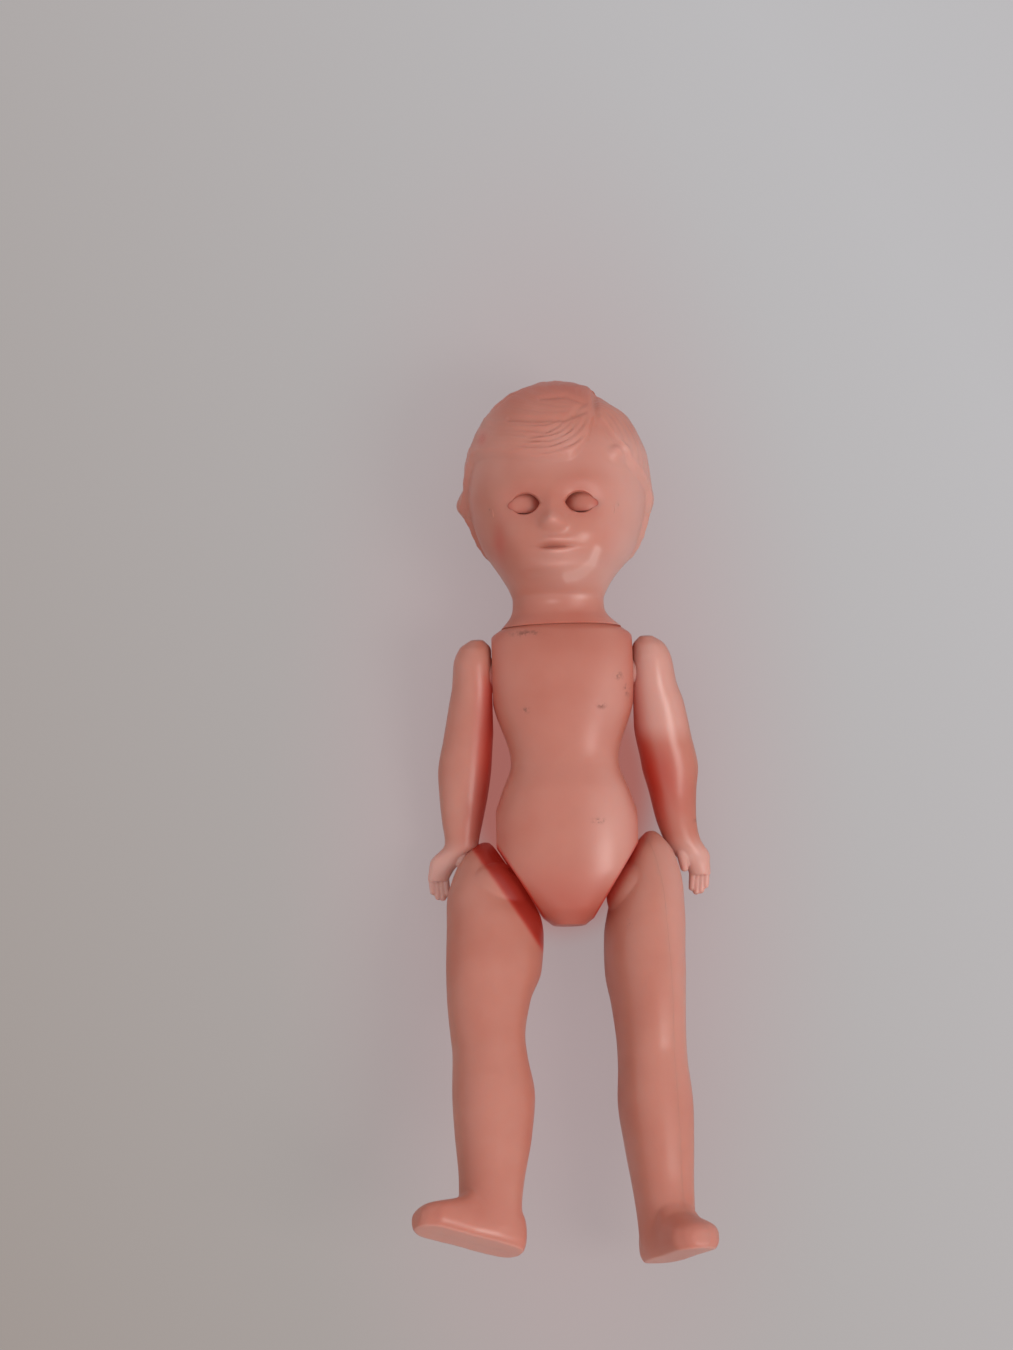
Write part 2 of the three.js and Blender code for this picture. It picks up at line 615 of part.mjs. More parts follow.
// Both eyes with their lids on one axle, in the closed position.
function eyes() {
  const group = new THREE.Group();
  const sideways = new THREE.Vector3(1, 0, 0);
  const axle = rod(
    new THREE.Vector3(-lugOffset - lugWidth / 2, eyeHeight, eyeDepth),
    new THREE.Vector3(lugOffset + lugWidth / 2, eyeHeight, eyeDepth),
    axleRadius,
  );
  const bore = rod(
    new THREE.Vector3(-lugOffset, eyeHeight, eyeDepth),
    new THREE.Vector3(lugOffset, eyeHeight, eyeDepth),
    axleRadius + seated,
  );
  for (const [side, name] of [[-1, 'right'], [1, 'left']]) {
    const centre = eyeCentre(side);
    group.add(part(`eye_${name}`, ball(centre, eyeBallRadius).subtract(bore), white));
    const below = new THREE.Vector3(0, -Math.cos(lidLowEdge), -Math.sin(lidLowEdge));
    const above = new THREE.Vector3(0, Math.cos(lidHighEdge), -Math.sin(lidHighEdge));
    const lid = ball(centre, lidRadius, 18)
      .subtract(ball(centre, lidRadius - lidWall, 18))
      .subtract(beyond(below, 0, centre))
      .subtract(beyond(above, 0, centre))
      .subtract(bore);
    group.add(part(`eyelid_${name}`, lid, skin));
  }
  const hang = new THREE.Vector3(0, -Math.sin(eyeArmLean), -Math.cos(eyeArmLean));
  const pivot = new THREE.Vector3(0, eyeHeight, eyeDepth);
  const armEnd = pivot.clone().addScaledVector(hang, eyeArmLength);
  group.add(part('eye_yoke', axle.add(rod(pivot, armEnd, axleRadius)), steel));
  const weightStart = pivot.clone().addScaledVector(hang, eyeArmLength - eyeWeightLength / 2);
  const plug = turned([
    [0, 0], [eyeWeightRadius * 0.8, 0], [eyeWeightRadius, eyeWeightLength * 0.4],
    [eyeWeightRadius, eyeWeightLength * 0.8], [eyeWeightRadius * 0.6, eyeWeightLength], [0, eyeWeightLength],
  ], weightStart, hang, 12);
  const socket = rod(
    weightStart.clone().addScaledVector(hang, -1),
    armEnd.clone().addScaledVector(hang, seated),
    axleRadius + seated,
  );
  group.add(part('eye_weight', plug.subtract(socket), lead));
  return group;
}

const shoulderTop = 8.2;
const palmEnd = -wristDrop - palmLength;
const palmReach = wristReach + palmOffset;
const armRows = [
  [palmEnd, palmReach, wristForward + 1.4, palmHalfWidth - 0.3, palmDepth - 0.5, palmDepth - 0.5],
  [palmEnd + 2.6, palmReach - 1.1, wristForward + 1.1, palmHalfWidth, palmDepth, palmDepth],
  [-wristDrop - 3.2, wristReach + 1.5, wristForward + 0.5, palmHalfWidth, palmDepth + 0.4, palmDepth + 0.4],
  [-wristDrop, wristReach, wristForward, wristRadius, wristRadius - 0.2, wristRadius - 0.2],
  [-wristDrop + 5, wristReach - 0.5, wristForward - 1.5, wristRadius + 0.8, wristRadius + 0.9, wristRadius + 0.9],
  [-elbowDrop - 6, elbowReach + 0.8, 0, elbowHalfWidth - 0.7, elbowDepth - 0.5, elbowDepth - 0.5],
  [-elbowDrop, elbowReach, -0.8, elbowHalfWidth, elbowDepth, elbowDepth],
  [-elbowDrop + 7, upperArmReach + 1.4, -0.6, upperArmHalfWidth + 0.7, upperArmDepth, upperArmDepth],
  [-7, upperArmReach + 0.6, -0.2, upperArmHalfWidth + 0.4, upperArmDepth, upperArmDepth],
  [-2, upperArmReach, 0, upperArmHalfWidth, upperArmDepth, upperArmDepth],
  [3, upperArmReach - 0.1, 0, upperArmHalfWidth - 0.4, upperArmDepth - 0.4, upperArmDepth - 0.4],
  [6.4, upperArmReach - 0.5, 0, upperArmHalfWidth - 1.5, upperArmDepth - 2, upperArmDepth - 2],
  [shoulderTop, upperArmReach - 1, 0, 1.4, 1.6, 1.6],
];

// Four fingers side by side and a thumb, from the palm's end.
function hand() {
  const knuckles = new THREE.Vector3(
    palmReach - 0.4,
    palmEnd + fingerRadius,
    wristForward + 1.3,
  );
  const reach = new THREE.Vector3(0.3, -0.94, 0.16).normalize();
  const spacing = (palmHalfWidth - fingerRadius) / 1.5;
  const lengths = [0.82, 1, 0.95, 0.72];
  const fingers = lengths.map((share, i) => {
    const start = knuckles.clone().add(new THREE.Vector3((i - 1.5) * spacing, 0, 0));
    const fan = reach.clone().add(new THREE.Vector3((i - 1.5) * 0.07, 0, 0));
    const end = start.clone().addScaledVector(fan, fingerLength * share);
    return finger(start, end, fingerRadius, fingerRadius * 0.8);
  });
  const root = new THREE.Vector3(wristReach, -wristDrop - 2.6, wristForward + 2);
  const tip = root.clone().addScaledVector(new THREE.Vector3(0.24, -0.88, 0.42).normalize(), thumbLength);
  fingers.push(finger(root, tip, thumbRadius, thumbRadius * 0.75));
  return fingers.reduce((solid, one) => solid.add(one));
}

function armShell() {
  const faceIn = new THREE.Vector3(-1, 0, 0);
  const limb = solidOf(loft(armRows, { sides: 14, rings: 19 }));
  const outer = limb.subtract(beyond(faceIn, -running)).add(hand());
  const hollowRows = armRows.slice(3);
  const inner = solidOf(loft(hollowRows, { sides: 10, rings: 8, inset: limbWall }))
    .subtract(beyond(faceIn, -running - limbWall));
  const bossEnd = new THREE.Vector3(-shoulderBossLength, 0, 0);
  const boss = rod(bossEnd, new THREE.Vector3(running + limbWall / 2, 0, 0), shoulderBossRadius, 16);
  const far = new THREE.Vector3(running + limbWall * 1.5, 0, 0);
  const bore = rod(bossEnd.clone().multiplyScalar(2), far, pinRadius + running, 16);
  return outer.subtract(inner).add(boss).subtract(bore);
}

// The plane that parts the arm's halves leans from the shoulder's axis to the wrist's.
const armSeam = new THREE.Vector3(0, wristForward, wristDrop).normalize();

function arm(side, name, swing) {
  const shell = armShell();
  const group = new THREE.Group();
  const front = shell.subtract(beyond(armSeam.clone().negate(), -seamGap / 2));
  const back = shell.subtract(beyond(armSeam, -seamGap / 2));
  group.add(part(`arm_${name}_front`, sided(front, side), skin));
  group.add(part(`arm_${name}_back`, sided(back, side), skin));
  const origin = new THREE.Vector3();
  const inward = new THREE.Vector3(-side, 0, 0);
  const washerStart = -running - limbWall - seated - washerThickness;
  const disc = washer(origin, inward, washerStart, shoulderWasherRadius, pinRadius + seated);
  group.add(part(`shoulder_washer_${name}`, disc, fibre));
  group.add(part(`shoulder_pin_${name}`, pin(origin, inward, washerStart - seated, shoulderCollar), steel));
  group.position.copy(shoulder(side));
  group.rotation.x = swing;
  return group;
}

const legRows = [
  [-legLength + 3, 0, 0, ankleHalfWidth - 0.6, ankleDepth - 0.3, ankleDepth - 0.2],
  [-ankleDrop - 5, 0, 0, ankleHalfWidth - 0.3, ankleDepth, ankleDepth - 0.5],
  [-ankleDrop, 0, 0, ankleHalfWidth, ankleDepth, ankleDepth],
  [-calfDrop - 9, 0, 0, calfHalfWidth - 0.6, calfDepth - 1.2, calfDepth - 0.3],
  [-calfDrop, 0, 0, calfHalfWidth, calfDepth - 0.6, calfDepth + 0.4],
  [-kneeDrop - 4, 0, 0, kneeHalfWidth, kneeDepth + 0.8, kneeDepth - 0.4],
  [-kneeDrop, 0, 0, kneeHalfWidth, kneeDepth + 1.4, kneeDepth - 1],
  [-kneeDrop + 9, -0.4, 0, thighHalfWidth - 0.3, thighDepth - 1, thighDepth - 3.4],
  [-thighDrop - 9, -0.8, 0, thighHalfWidth + 0.2, thighDepth - 0.6, thighDepth - 0.7],
  [-thighDrop, -0.6, 0, thighHalfWidth + 0.3, thighDepth - 0.8, thighDepth],
  [-2, 0.2, 0, thighHalfWidth - 0.3, thighDepth - 1, thighDepth - 0.6],
  [4, 1.4, 0, thighHalfWidth - 1.6, thighDepth - 3, thighDepth - 2.8],
  [9, 2.2, 0, thighHalfWidth - 4, thighDepth - 6, thighDepth - 6],
  [13, 3, 0, 1.2, 1.5, 1.5],
];

// Rows of the foot run from heel to toe; here height is the distance forward of the leg's axis.
const footRows = [
  [-footHeel, 0, 0, 2.6, 2.4, 3],
  [-footHeel + 1.4, 0, 0, footHalfWidth - 1.2, 6, 4],
  [-footHeel + 5, 0, 0, footHalfWidth - 0.2, instepHeight - 3.2, 4],
  [1, 0, 0, footHalfWidth, instepHeight - 3, 4],
  [6, 0, 0, footHalfWidth - 0.3, instepHeight - 4.4, 4],
  [footLength - footHeel - 9, 0, 0, footHalfWidth - 0.1, toeHeight - 0.4, 4],
  [footLength - footHeel - 4, 0, 0, footHalfWidth, toeHeight - 2.6, 4],
  [footLength - footHeel - 1.2, 0, 0, footHalfWidth - 1.6, toeHeight - 3.4, 3.6],
  [footLength - footHeel, 0, 0, 2.4, 0.9, 2.4],
];
const footCore = 3;

function legSkin(inset, sides, rings) {
  const shin = loft(legRows, { sides, rings, inset });
  const foot = loft(footRows, { sides, rings: Math.round(rings * 0.6), inset, fullness: 2.5 });
  foot.rotateX(Math.PI / 2).scale(1, -1, 1).rotateX(-soleTilt);
  foot.applyMatrix4(new THREE.Matrix4().makeTranslation(0, -legLength + footCore, 0));
  const down = new THREE.Vector3(0, -Math.cos(soleTilt), Math.sin(soleTilt));
  const solePlace = (legLength - footCore) * Math.cos(soleTilt) + footCore;
  const whole = solidOf(shin).add(solidOf(foot)).subtract(beyond(down, solePlace - inset));
  return solidOf(geometryOf(whole).rotateY(footTurnOut));
}

// The directions from the leg's ball into the torso, as the leg turns on its pin.
function hipDirections() {
  const steps = 4;
  const directions = [];
  for (let i = 0; i <= steps; i += 1) {
    const turn = THREE.MathUtils.lerp(-hipTurnOutLimit, hipTurnInLimit, i / steps);
    directions.push(new THREE.Vector3(
      -Math.cos(hipLean) * Math.cos(turn),
      Math.sin(hipLean),
      Math.cos(hipLean) * Math.sin(turn),
    ));
  }
  return directions;
}

// The leg's ball end is cut back along every direction, and a slot for the pin joins them.
function legShell() {
  const origin = new THREE.Vector3();
  const skinCut = hipSeat - running;
  let outer = legSkin(0, 14, 18);
  let inner = legSkin(limbWall, 8, 9);
  for (const direction of hipDirections()) {
    outer = outer.subtract(beyond(direction, skinCut));
    inner = inner.subtract(beyond(direction, skinCut - limbWall));
  }
  outer = outer.add(ball(origin, hipDomeRadius, 18));
  inner = inner.add(ball(origin, hipDomeRadius - limbWall, 14));
  const slots = hipDirections().map((direction) => {
    const start = direction.clone().multiplyScalar(hipDomeRadius * 0.5);
    const end = direction.clone().multiplyScalar(hipDomeRadius * 1.5);
    return rod(start, end, hipMouthRadius, 12);
  });
  return slots.reduce((solid, slot) => solid.subtract(slot), outer.subtract(inner));
}

// The hip's washer has a flared hole, so that the pin can lean in it as the leg turns.
const hipWasherStart = hipBallRadius * 0.8;
function hipWasher() {
  const flare = Math.tan(hipFlare);
  const end = hipWasherStart + washerThickness;
  return turned([
    [hipWasherStart * flare + running, hipWasherStart], [hipWasherRadius, hipWasherStart],
    [hipWasherRadius, end], [end * flare + running, end],
    [hipWasherStart * flare + running, hipWasherStart],
  ], new THREE.Vector3(), hip(1).inward, 16);
}

function hipPin() {
  const tail = hipCollar + elasticRadius + seated;
  const { inward } = hip(1);
  const shank = turned([
    [0, 0], [pinRadius, 0], [pinRadius, tail], [pinHeadRadius, tail],
    [pinHeadRadius, tail + pinHeadLength], [0, tail + pinHeadLength],
  ], new THREE.Vector3(), inward, 10);
  return ball(new THREE.Vector3(), hipBallRadius, 14).add(shank);
}

// The leg swings about the torso's hip face, leans a little in its seat, and twists about its length.
function leg(side, name, swing, twist, spread) {
  const shell = legShell();
  const parting = new THREE.Vector3(Math.cos(footTurnOut), 0, -Math.sin(footTurnOut));
  const outerHalf = shell.subtract(beyond(parting.clone().negate(), -seamGap / 2));
  const innerHalf = shell.subtract(beyond(parting, -seamGap / 2));
  const limb = new THREE.Group();
  limb.add(part(`leg_${name}_outer`, sided(outerHalf, side), skin));
  limb.add(part(`leg_${name}_inner`, sided(innerHalf, side), skin));
  limb.add(part(`hip_washer_${name}`, sided(hipWasher(), side), fibre));
  limb.quaternion.setFromAxisAngle(up, side * spread);
  limb.quaternion.multiply(new THREE.Quaternion().setFromAxisAngle(along, side * twist));
  const { centre, inward } = hip(side);
  const group = new THREE.Group();
  group.add(part(`hip_pin_${name}`, sided(hipPin(), side), steel));
  group.add(limb);
  group.position.copy(centre);
  const raise = new THREE.Vector3(-Math.abs(inward.x), side * inward.y, 0);
  group.quaternion.setFromAxisAngle(raise, swing);
  return group;
}

const doll = new THREE.Group();
doll.add(...torso());
doll.add(...elastics());
doll.add(head());
doll.add(arm(-1, 'right', rightArmSwing));
doll.add(arm(1, 'left', leftArmSwing));
doll.add(leg(-1, 'right', rightLegSwing, rightLegTwist, rightLegSpread));
doll.add(leg(1, 'left', leftLegSwing, leftLegTwist, leftLegSpread));

// It lies on the back of its head and its seat, so the body rises a little towards the shoulders.
const headLow = neckAxisHeight - headBackDepth;
const seatLow = torsoAxisHeight - seatDepth;
doll.rotation.x = Math.atan2(seatLow - headLow, headHeight * 0.66 + seatDrop);

// The origin is under the middle of the doll, on the surface that it lies on.
const model = new THREE.Group();
model.add(doll);
const bounds = new THREE.Box3().setFromObject(model, true);
const middle = bounds.getCenter(new THREE.Vector3());
doll.position.set(-middle.x, -middle.y, -bounds.min.z);

export default model;
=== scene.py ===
"""Dresses a small strung plastic doll, lying on its back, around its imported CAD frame."""

from __future__ import annotations

import json
import logging
import math
from collections.abc import Callable, Sequence
from dataclasses import dataclass, field
from enum import Enum
from typing import Any

import bpy
import numpy as np
from mathutils import Matrix, Vector

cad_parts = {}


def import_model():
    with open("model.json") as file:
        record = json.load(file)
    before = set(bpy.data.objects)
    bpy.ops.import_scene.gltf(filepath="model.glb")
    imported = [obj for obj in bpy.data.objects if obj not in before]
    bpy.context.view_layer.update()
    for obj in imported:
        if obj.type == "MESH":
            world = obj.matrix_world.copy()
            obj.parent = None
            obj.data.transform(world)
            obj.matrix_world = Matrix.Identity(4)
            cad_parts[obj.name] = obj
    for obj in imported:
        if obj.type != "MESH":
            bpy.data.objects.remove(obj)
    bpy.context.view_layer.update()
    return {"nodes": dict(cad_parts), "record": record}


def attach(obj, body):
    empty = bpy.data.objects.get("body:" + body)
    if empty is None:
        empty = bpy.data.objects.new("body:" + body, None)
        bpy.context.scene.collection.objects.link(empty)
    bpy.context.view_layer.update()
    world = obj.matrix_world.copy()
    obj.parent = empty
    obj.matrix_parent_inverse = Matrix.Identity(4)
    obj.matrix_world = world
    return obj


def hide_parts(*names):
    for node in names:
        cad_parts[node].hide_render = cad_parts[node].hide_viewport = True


log = logging.getLogger("doll")

MM = 0.001
CUT_SIZE = 400.0
SEAM = 0.02
SNUG = 0.12
RUNNING = 0.4
WALL = 1.4
LIMB_WALL = 1.2
CLEAR = 0.3
PIN_RADIUS = 0.7
NECK_BOSS_RADIUS = 5.4
NECK_BOSS_LENGTH = 1.8
BORE_SIDES = 24
PIN_SIDES = 32
BOSS_SIDES = 64
BALL_STEPS = 48
EDGE_ANGLE = math.radians(42)
STRAIGHT_ARM = (
    (-50, 0.3, 0),
    (-43, 0.3, 0.2),
    (-38.2, -1.5, 0.1),
    (-33, -1.3, 0.1),
    (-27, -1.1, 0.3),
    (-21, -0.7, 0.1),
    (-14, -0.2, 0),
    (10, 0, 0),
)
BOWED_ARM = (
    (-50, 0.5, 0),
    (-43, 1.2, 0.3),
    (-38.2, 0.8, 0.4),
    (-33, 0.1, 0.1),
    (-27, 0.2, 0.2),
    (-21, 0.5, 0.5),
    (-14, 0.6, 0.7),
    (-7, 0.7, 0.6),
    (0, 0.2, 0.2),
    (10, 0, 0),
)
INWARD_LEG = ((-90, -1.4), (-60, -1.4), (-34, -1.6), (-20, -0.8), (-8, 0), (16, 0))

Row = Sequence[float]
Trace = Sequence[tuple[float, float]]
Relief = Callable[[np.ndarray], np.ndarray]
Tint = dict[str, np.ndarray | float]
Painter = Callable[[np.ndarray], Tint]
Links = dict[Any, Any]
Changes = Sequence[tuple[str, dict[str, Any]]]


class Cut(Enum):
    """How one solid works on another."""

    AWAY = "DIFFERENCE"
    JOIN = "UNION"


class Side(Enum):
    """The doll's right or left, with the sign of its x."""

    RIGHT = -1
    LEFT = 1

    @property
    def word(self) -> str:
        """The side's word in node names."""
        return self.name.lower()


def linear(code: str) -> tuple[float, float, float, float]:
    """Turns an sRGB hex colour into linear values.

    Args:
        code: Six hex digits after a hash sign.

    Returns:
        Linear red, green, blue and an alpha of one.
    """
    parts = [int(code[i:i + 2], 16) / 255 for i in (1, 3, 5)]
    red, green, blue = (p / 12.92 if p <= 0.04045 else ((p + 0.055) / 1.055) ** 2.4 for p in parts)
    return red, green, blue, 1.0


def feed(node: bpy.types.Node, links: Links) -> None:
    """Sets a node's inputs to values or to other nodes' outputs.

    Args:
        node: The node.
        links: Values or output sockets, by input name or number.
    """
    for key, value in links.items():
        if isinstance(value, bpy.types.NodeSocket):
            node.id_data.links.new(value, node.inputs[key])
        else:
            node.inputs[key].default_value = value


def add_node(
    tree: bpy.types.NodeTree, kind: str, links: Links | None = None, **settings: Any
) -> bpy.types.Node:
    """Adds one node with its settings and inputs.

    Args:
        tree: The tree that gets the node.
        kind: The node's type name.
        links: Values or output sockets, by input name or number.
        settings: Attributes of the node.

    Returns:
        The new node.
    """
    node = tree.nodes.new(kind)
    for key, value in settings.items():
        setattr(node, key, value)
    feed(node, links or {})
    return node


def ramp(node: bpy.types.Node, stops: Sequence[tuple[float, str]]) -> bpy.types.NodeSocket:
    """Sets a colour ramp's stops and returns its colour output.

    Args:
        node: The colour ramp's node.
        stops: Places and their colours.

    Returns:
        The ramp's colour output.
    """
    band = node.color_ramp
    while len(band.elements) < len(stops):
        band.elements.new(0.5)
    for element, (place, code) in zip(band.elements, stops):
        element.position = place
        element.color = linear(code)
    return node.outputs["Color"]


@dataclass(frozen=True)
class Finish:
    """What every finish shares: a material with a principled shader, made once."""

    name: str

    def start(self, settings: Links) -> tuple[bpy.types.Material, bpy.types.NodeTree, bpy.types.Node]:
        """Makes the empty material.

        Args:
            settings: Values of the shader's inputs.

        Returns:
            The material, its tree and its principled shader.
        """
        material = bpy.data.materials.new(self.name)
        material.use_nodes = True
        tree = material.node_tree
        tree.nodes.clear()
        shader = add_node(tree, "ShaderNodeBsdfPrincipled", settings)
        add_node(tree, "ShaderNodeOutputMaterial", {"Surface": shader.outputs["BSDF"]}, name="out")
        return material, tree, shader


@dataclass(frozen=True)
class BlownPolythene(Finish):
    """Thin blow-moulded flesh polythene.

    The real plastic looks waxy and a little clouded, carries fine specks of dirt in its scuffs, and lets
    some light through its thin wall. Its painted attributes add the cheeks' real blush, painted shade in red
    and in darker red, and painted highlights; the emission is a painted red glow that follows the red blush
    and painted shade.
    """

    base: str = "#c4806f"
    warm: str = "#b4634f"
    # deep is the red of the cheeks' blush and of painted shade, shade a darker painted shade, pale a painted
    # highlight
    deep: str = "#a83628"
    shade: str = "#701f19"
    pale: str = "#d9a79c"
    dirt: str = "#6d4a40"
    glow: str = "#f0694a"
    # The colour of a painted red glow, given off where the red painted shade lies
    painted_glow: str = "#a8281c"
    index: float = 1.51
    inner_light: float = 0.22
    scatter: float = 0.4
    scatter_reach: tuple[float, float, float] = (1.0, 0.4, 0.25)
    scatter_mm: float = 1.6
    passing: float = 0.15
    cloud_mm: float = 17.0
    clouds: tuple[float, float] = (0.38, 0.72)
    cloudiness: float = 0.55
    wear: tuple[float, float] = (0.3, 0.7)
    smoothest: float = 0.3
    roughest: float = 0.46
    dirt_roughness: float = 0.3
    grain_mm: float = 0.55
    grain_depth_mm: float = 0.05
    grain_strength: float = 0.12
    speck_mm: float = 1.1
    specks: tuple[float, float] = (0.46, 0.6)

    def make(self) -> bpy.types.Material:
        """Builds the material from the object's coordinates and its painted attributes.

        Returns:
            The material.
        """
        material, tree, shader = self.start({
            "IOR": self.index,
            # The strength of that painted glow
            "Emission Strength": self.inner_light,
            "Subsurface Weight": self.scatter,
            "Subsurface Radius": self.scatter_reach,
            "Subsurface Scale": self.scatter_mm * MM,
        })
        place = add_node(tree, "ShaderNodeTexCoord").outputs["Object"]
        cloud = add_node(tree, "ShaderNodeTexNoise", {
            "Vector": place, "Scale": 1 / (self.cloud_mm * MM), "Detail": 3.0, "Roughness": 0.5,
        })
        mottle = add_node(tree, "ShaderNodeMapRange", {
            "Value": cloud.outputs["Fac"],
            "From Min": self.clouds[0], "From Max": self.clouds[1], "To Max": self.cloudiness,
        })
        colour = add_node(tree, "ShaderNodeMix", {
            "Factor": mottle.outputs["Result"], "A": linear(self.base), "B": linear(self.warm),
        }, data_type="RGBA")
        # Painted attributes mix in the blush with red painted shade, painted highlights and darker painted
        # shade
        for attribute, code in (("redness", self.deep), ("paleness", self.pale), ("depth", self.shade)):
            amount = add_node(tree, "ShaderNodeAttribute", attribute_name=attribute).outputs["Fac"]
            colour = add_node(tree, "ShaderNodeMix", {
                "Factor": amount, "A": colour.outputs[2], "B": linear(code),
            }, data_type="RGBA")
            # The red painted shade also drives the painted glow of the emission
            if attribute == "redness":
                lit = add_node(tree, "ShaderNodeMix", {
                    "Factor": amount, "A": (0, 0, 0, 1), "B": linear(self.painted_glow),
                }, data_type="RGBA")
        specks = add_node(tree, "ShaderNodeTexNoise", {
            "Vector": place, "Scale": 1 / (self.speck_mm * MM), "Detail": 4.0, "Roughness": 0.65,
        })
        spotted = add_node(tree, "ShaderNodeMapRange", {
            "Value": specks.outputs["Fac"], "From Min": self.specks[0], "From Max": self.specks[1],
        })
        grime = add_node(tree, "ShaderNodeAttribute", attribute_name="grime")
        soil = add_node(tree, "ShaderNodeMath", {
            0: grime.outputs["Fac"], 1: spotted.outputs["Result"],
        }, operation="MULTIPLY")
        colour = add_node(tree, "ShaderNodeMix", {
            "Factor": soil.outputs[0], "A": colour.outputs[2], "B": linear(self.dirt),
        }, data_type="RGBA")
        grain = add_node(tree, "ShaderNodeTexNoise", {
            "Vector": place, "Scale": 1 / (self.grain_mm * MM), "Detail": 2.0,
        })
        bump = add_node(tree, "ShaderNodeBump", {
            "Height": grain.outputs["Fac"], "Strength": self.grain_strength,
            "Distance": self.grain_depth_mm * MM,
        })
        worn = add_node(tree, "ShaderNodeMapRange", {
            "Value": cloud.outputs["Fac"], "From Min": self.wear[0], "From Max": self.wear[1],
            "To Min": self.smoothest, "To Max": self.roughest,
        })
        rough = add_node(tree, "ShaderNodeMath", {
            0: soil.outputs[0], 1: self.dirt_roughness, 2: worn.outputs["Result"],
        }, operation="MULTIPLY_ADD")
        feed(shader, {
            "Base Color": colour.outputs[2], "Emission Color": lit.outputs[2],
            "Normal": bump.outputs["Normal"], "Roughness": rough.outputs[0],
        })
        through = add_node(tree, "ShaderNodeBsdfTranslucent", {"Color": linear(self.glow)})
        thin = add_node(tree, "ShaderNodeMixShader", {
            0: self.passing, 1: shader.outputs["BSDF"], 2: through.outputs["BSDF"],
        })
        feed(tree.nodes["out"], {"Surface": thin.outputs["Shader"]})
        return material


@dataclass(frozen=True)
class PaintedEye(Finish):
    """Polished white celluloid ball with a painted iris, read from the ball's own angle attribute.

    The real eye shows a black pupil, a blue iris with fine rays and a darker rim under a hard gloss.
    """

    white: str = "#e9e4da"
    iris: str = "#3f6a86"
    rim: str = "#23394a"
    pupil: str = "#0a0a0c"
    index: float = 1.5
    roughness: float = 0.12
    ray_mm: float = 0.4
    unevenness: float = 0.03
    rings: tuple[float, ...] = (0.0, 0.2, 0.23, 0.42, 0.47, 0.5)

    def make(self) -> bpy.types.Material:
        """Builds the iris rings and the fine rays in them.

        Returns:
            The material.
        """
        material, tree, shader = self.start({"IOR": self.index, "Roughness": self.roughness})
        ring = add_node(tree, "ShaderNodeAttribute", attribute_name="ring")
        place = add_node(tree, "ShaderNodeTexCoord").outputs["Object"]
        rays = add_node(tree, "ShaderNodeTexNoise", {
            "Vector": place, "Scale": 1 / (self.ray_mm * MM), "Detail": 2.0,
        })
        shifted = add_node(tree, "ShaderNodeMath", {
            0: rays.outputs["Fac"], 1: self.unevenness, 2: ring.outputs["Fac"],
        }, operation="MULTIPLY_ADD")
        bands = add_node(tree, "ShaderNodeValToRGB", {"Fac": shifted.outputs[0]})
        colours = (self.pupil, self.pupil, self.iris, self.iris, self.rim, self.white)
        feed(shader, {"Base Color": ramp(bands, list(zip(self.rings, colours)))})
        return material


@dataclass(frozen=True)
class Plain(Finish):
    """A worked surface with a fine grain: drawn steel, cast lead, pressed fibre, rubber or nylon.

    Each of these shows two close tones that follow its grain, and a shallow relief.
    """

    light: str
    dark: str
    grain_mm: float
    roughness: float
    metallic: float = 0.0
    spread: float = 0.08
    grain_depth_mm: float = 0.04
    grain_strength: float = 0.3

    def make(self) -> bpy.types.Material:
        """Builds two tones that follow the grain, and its bump.

        Returns:
            The material.
        """
        material, tree, shader = self.start({"Metallic": self.metallic})
        place = add_node(tree, "ShaderNodeTexCoord").outputs["Object"]
        grain = add_node(tree, "ShaderNodeTexNoise", {
            "Vector": place, "Scale": 1 / (self.grain_mm * MM), "Detail": 4.0,
        }).outputs["Fac"]
        tone = add_node(tree, "ShaderNodeMix", {
            "Factor": grain, "A": linear(self.light), "B": linear(self.dark),
        }, data_type="RGBA")
        rough = add_node(tree, "ShaderNodeMapRange", {
            "Value": grain, "To Min": self.roughness - self.spread, "To Max": self.roughness + self.spread,
        })
        bump = add_node(tree, "ShaderNodeBump", {
            "Height": grain, "Strength": self.grain_strength, "Distance": self.grain_depth_mm * MM,
        })
        feed(shader, {
            "Base Color": tone.outputs[2], "Roughness": rough.outputs["Result"],
            "Normal": bump.outputs["Normal"],
        })
        return material


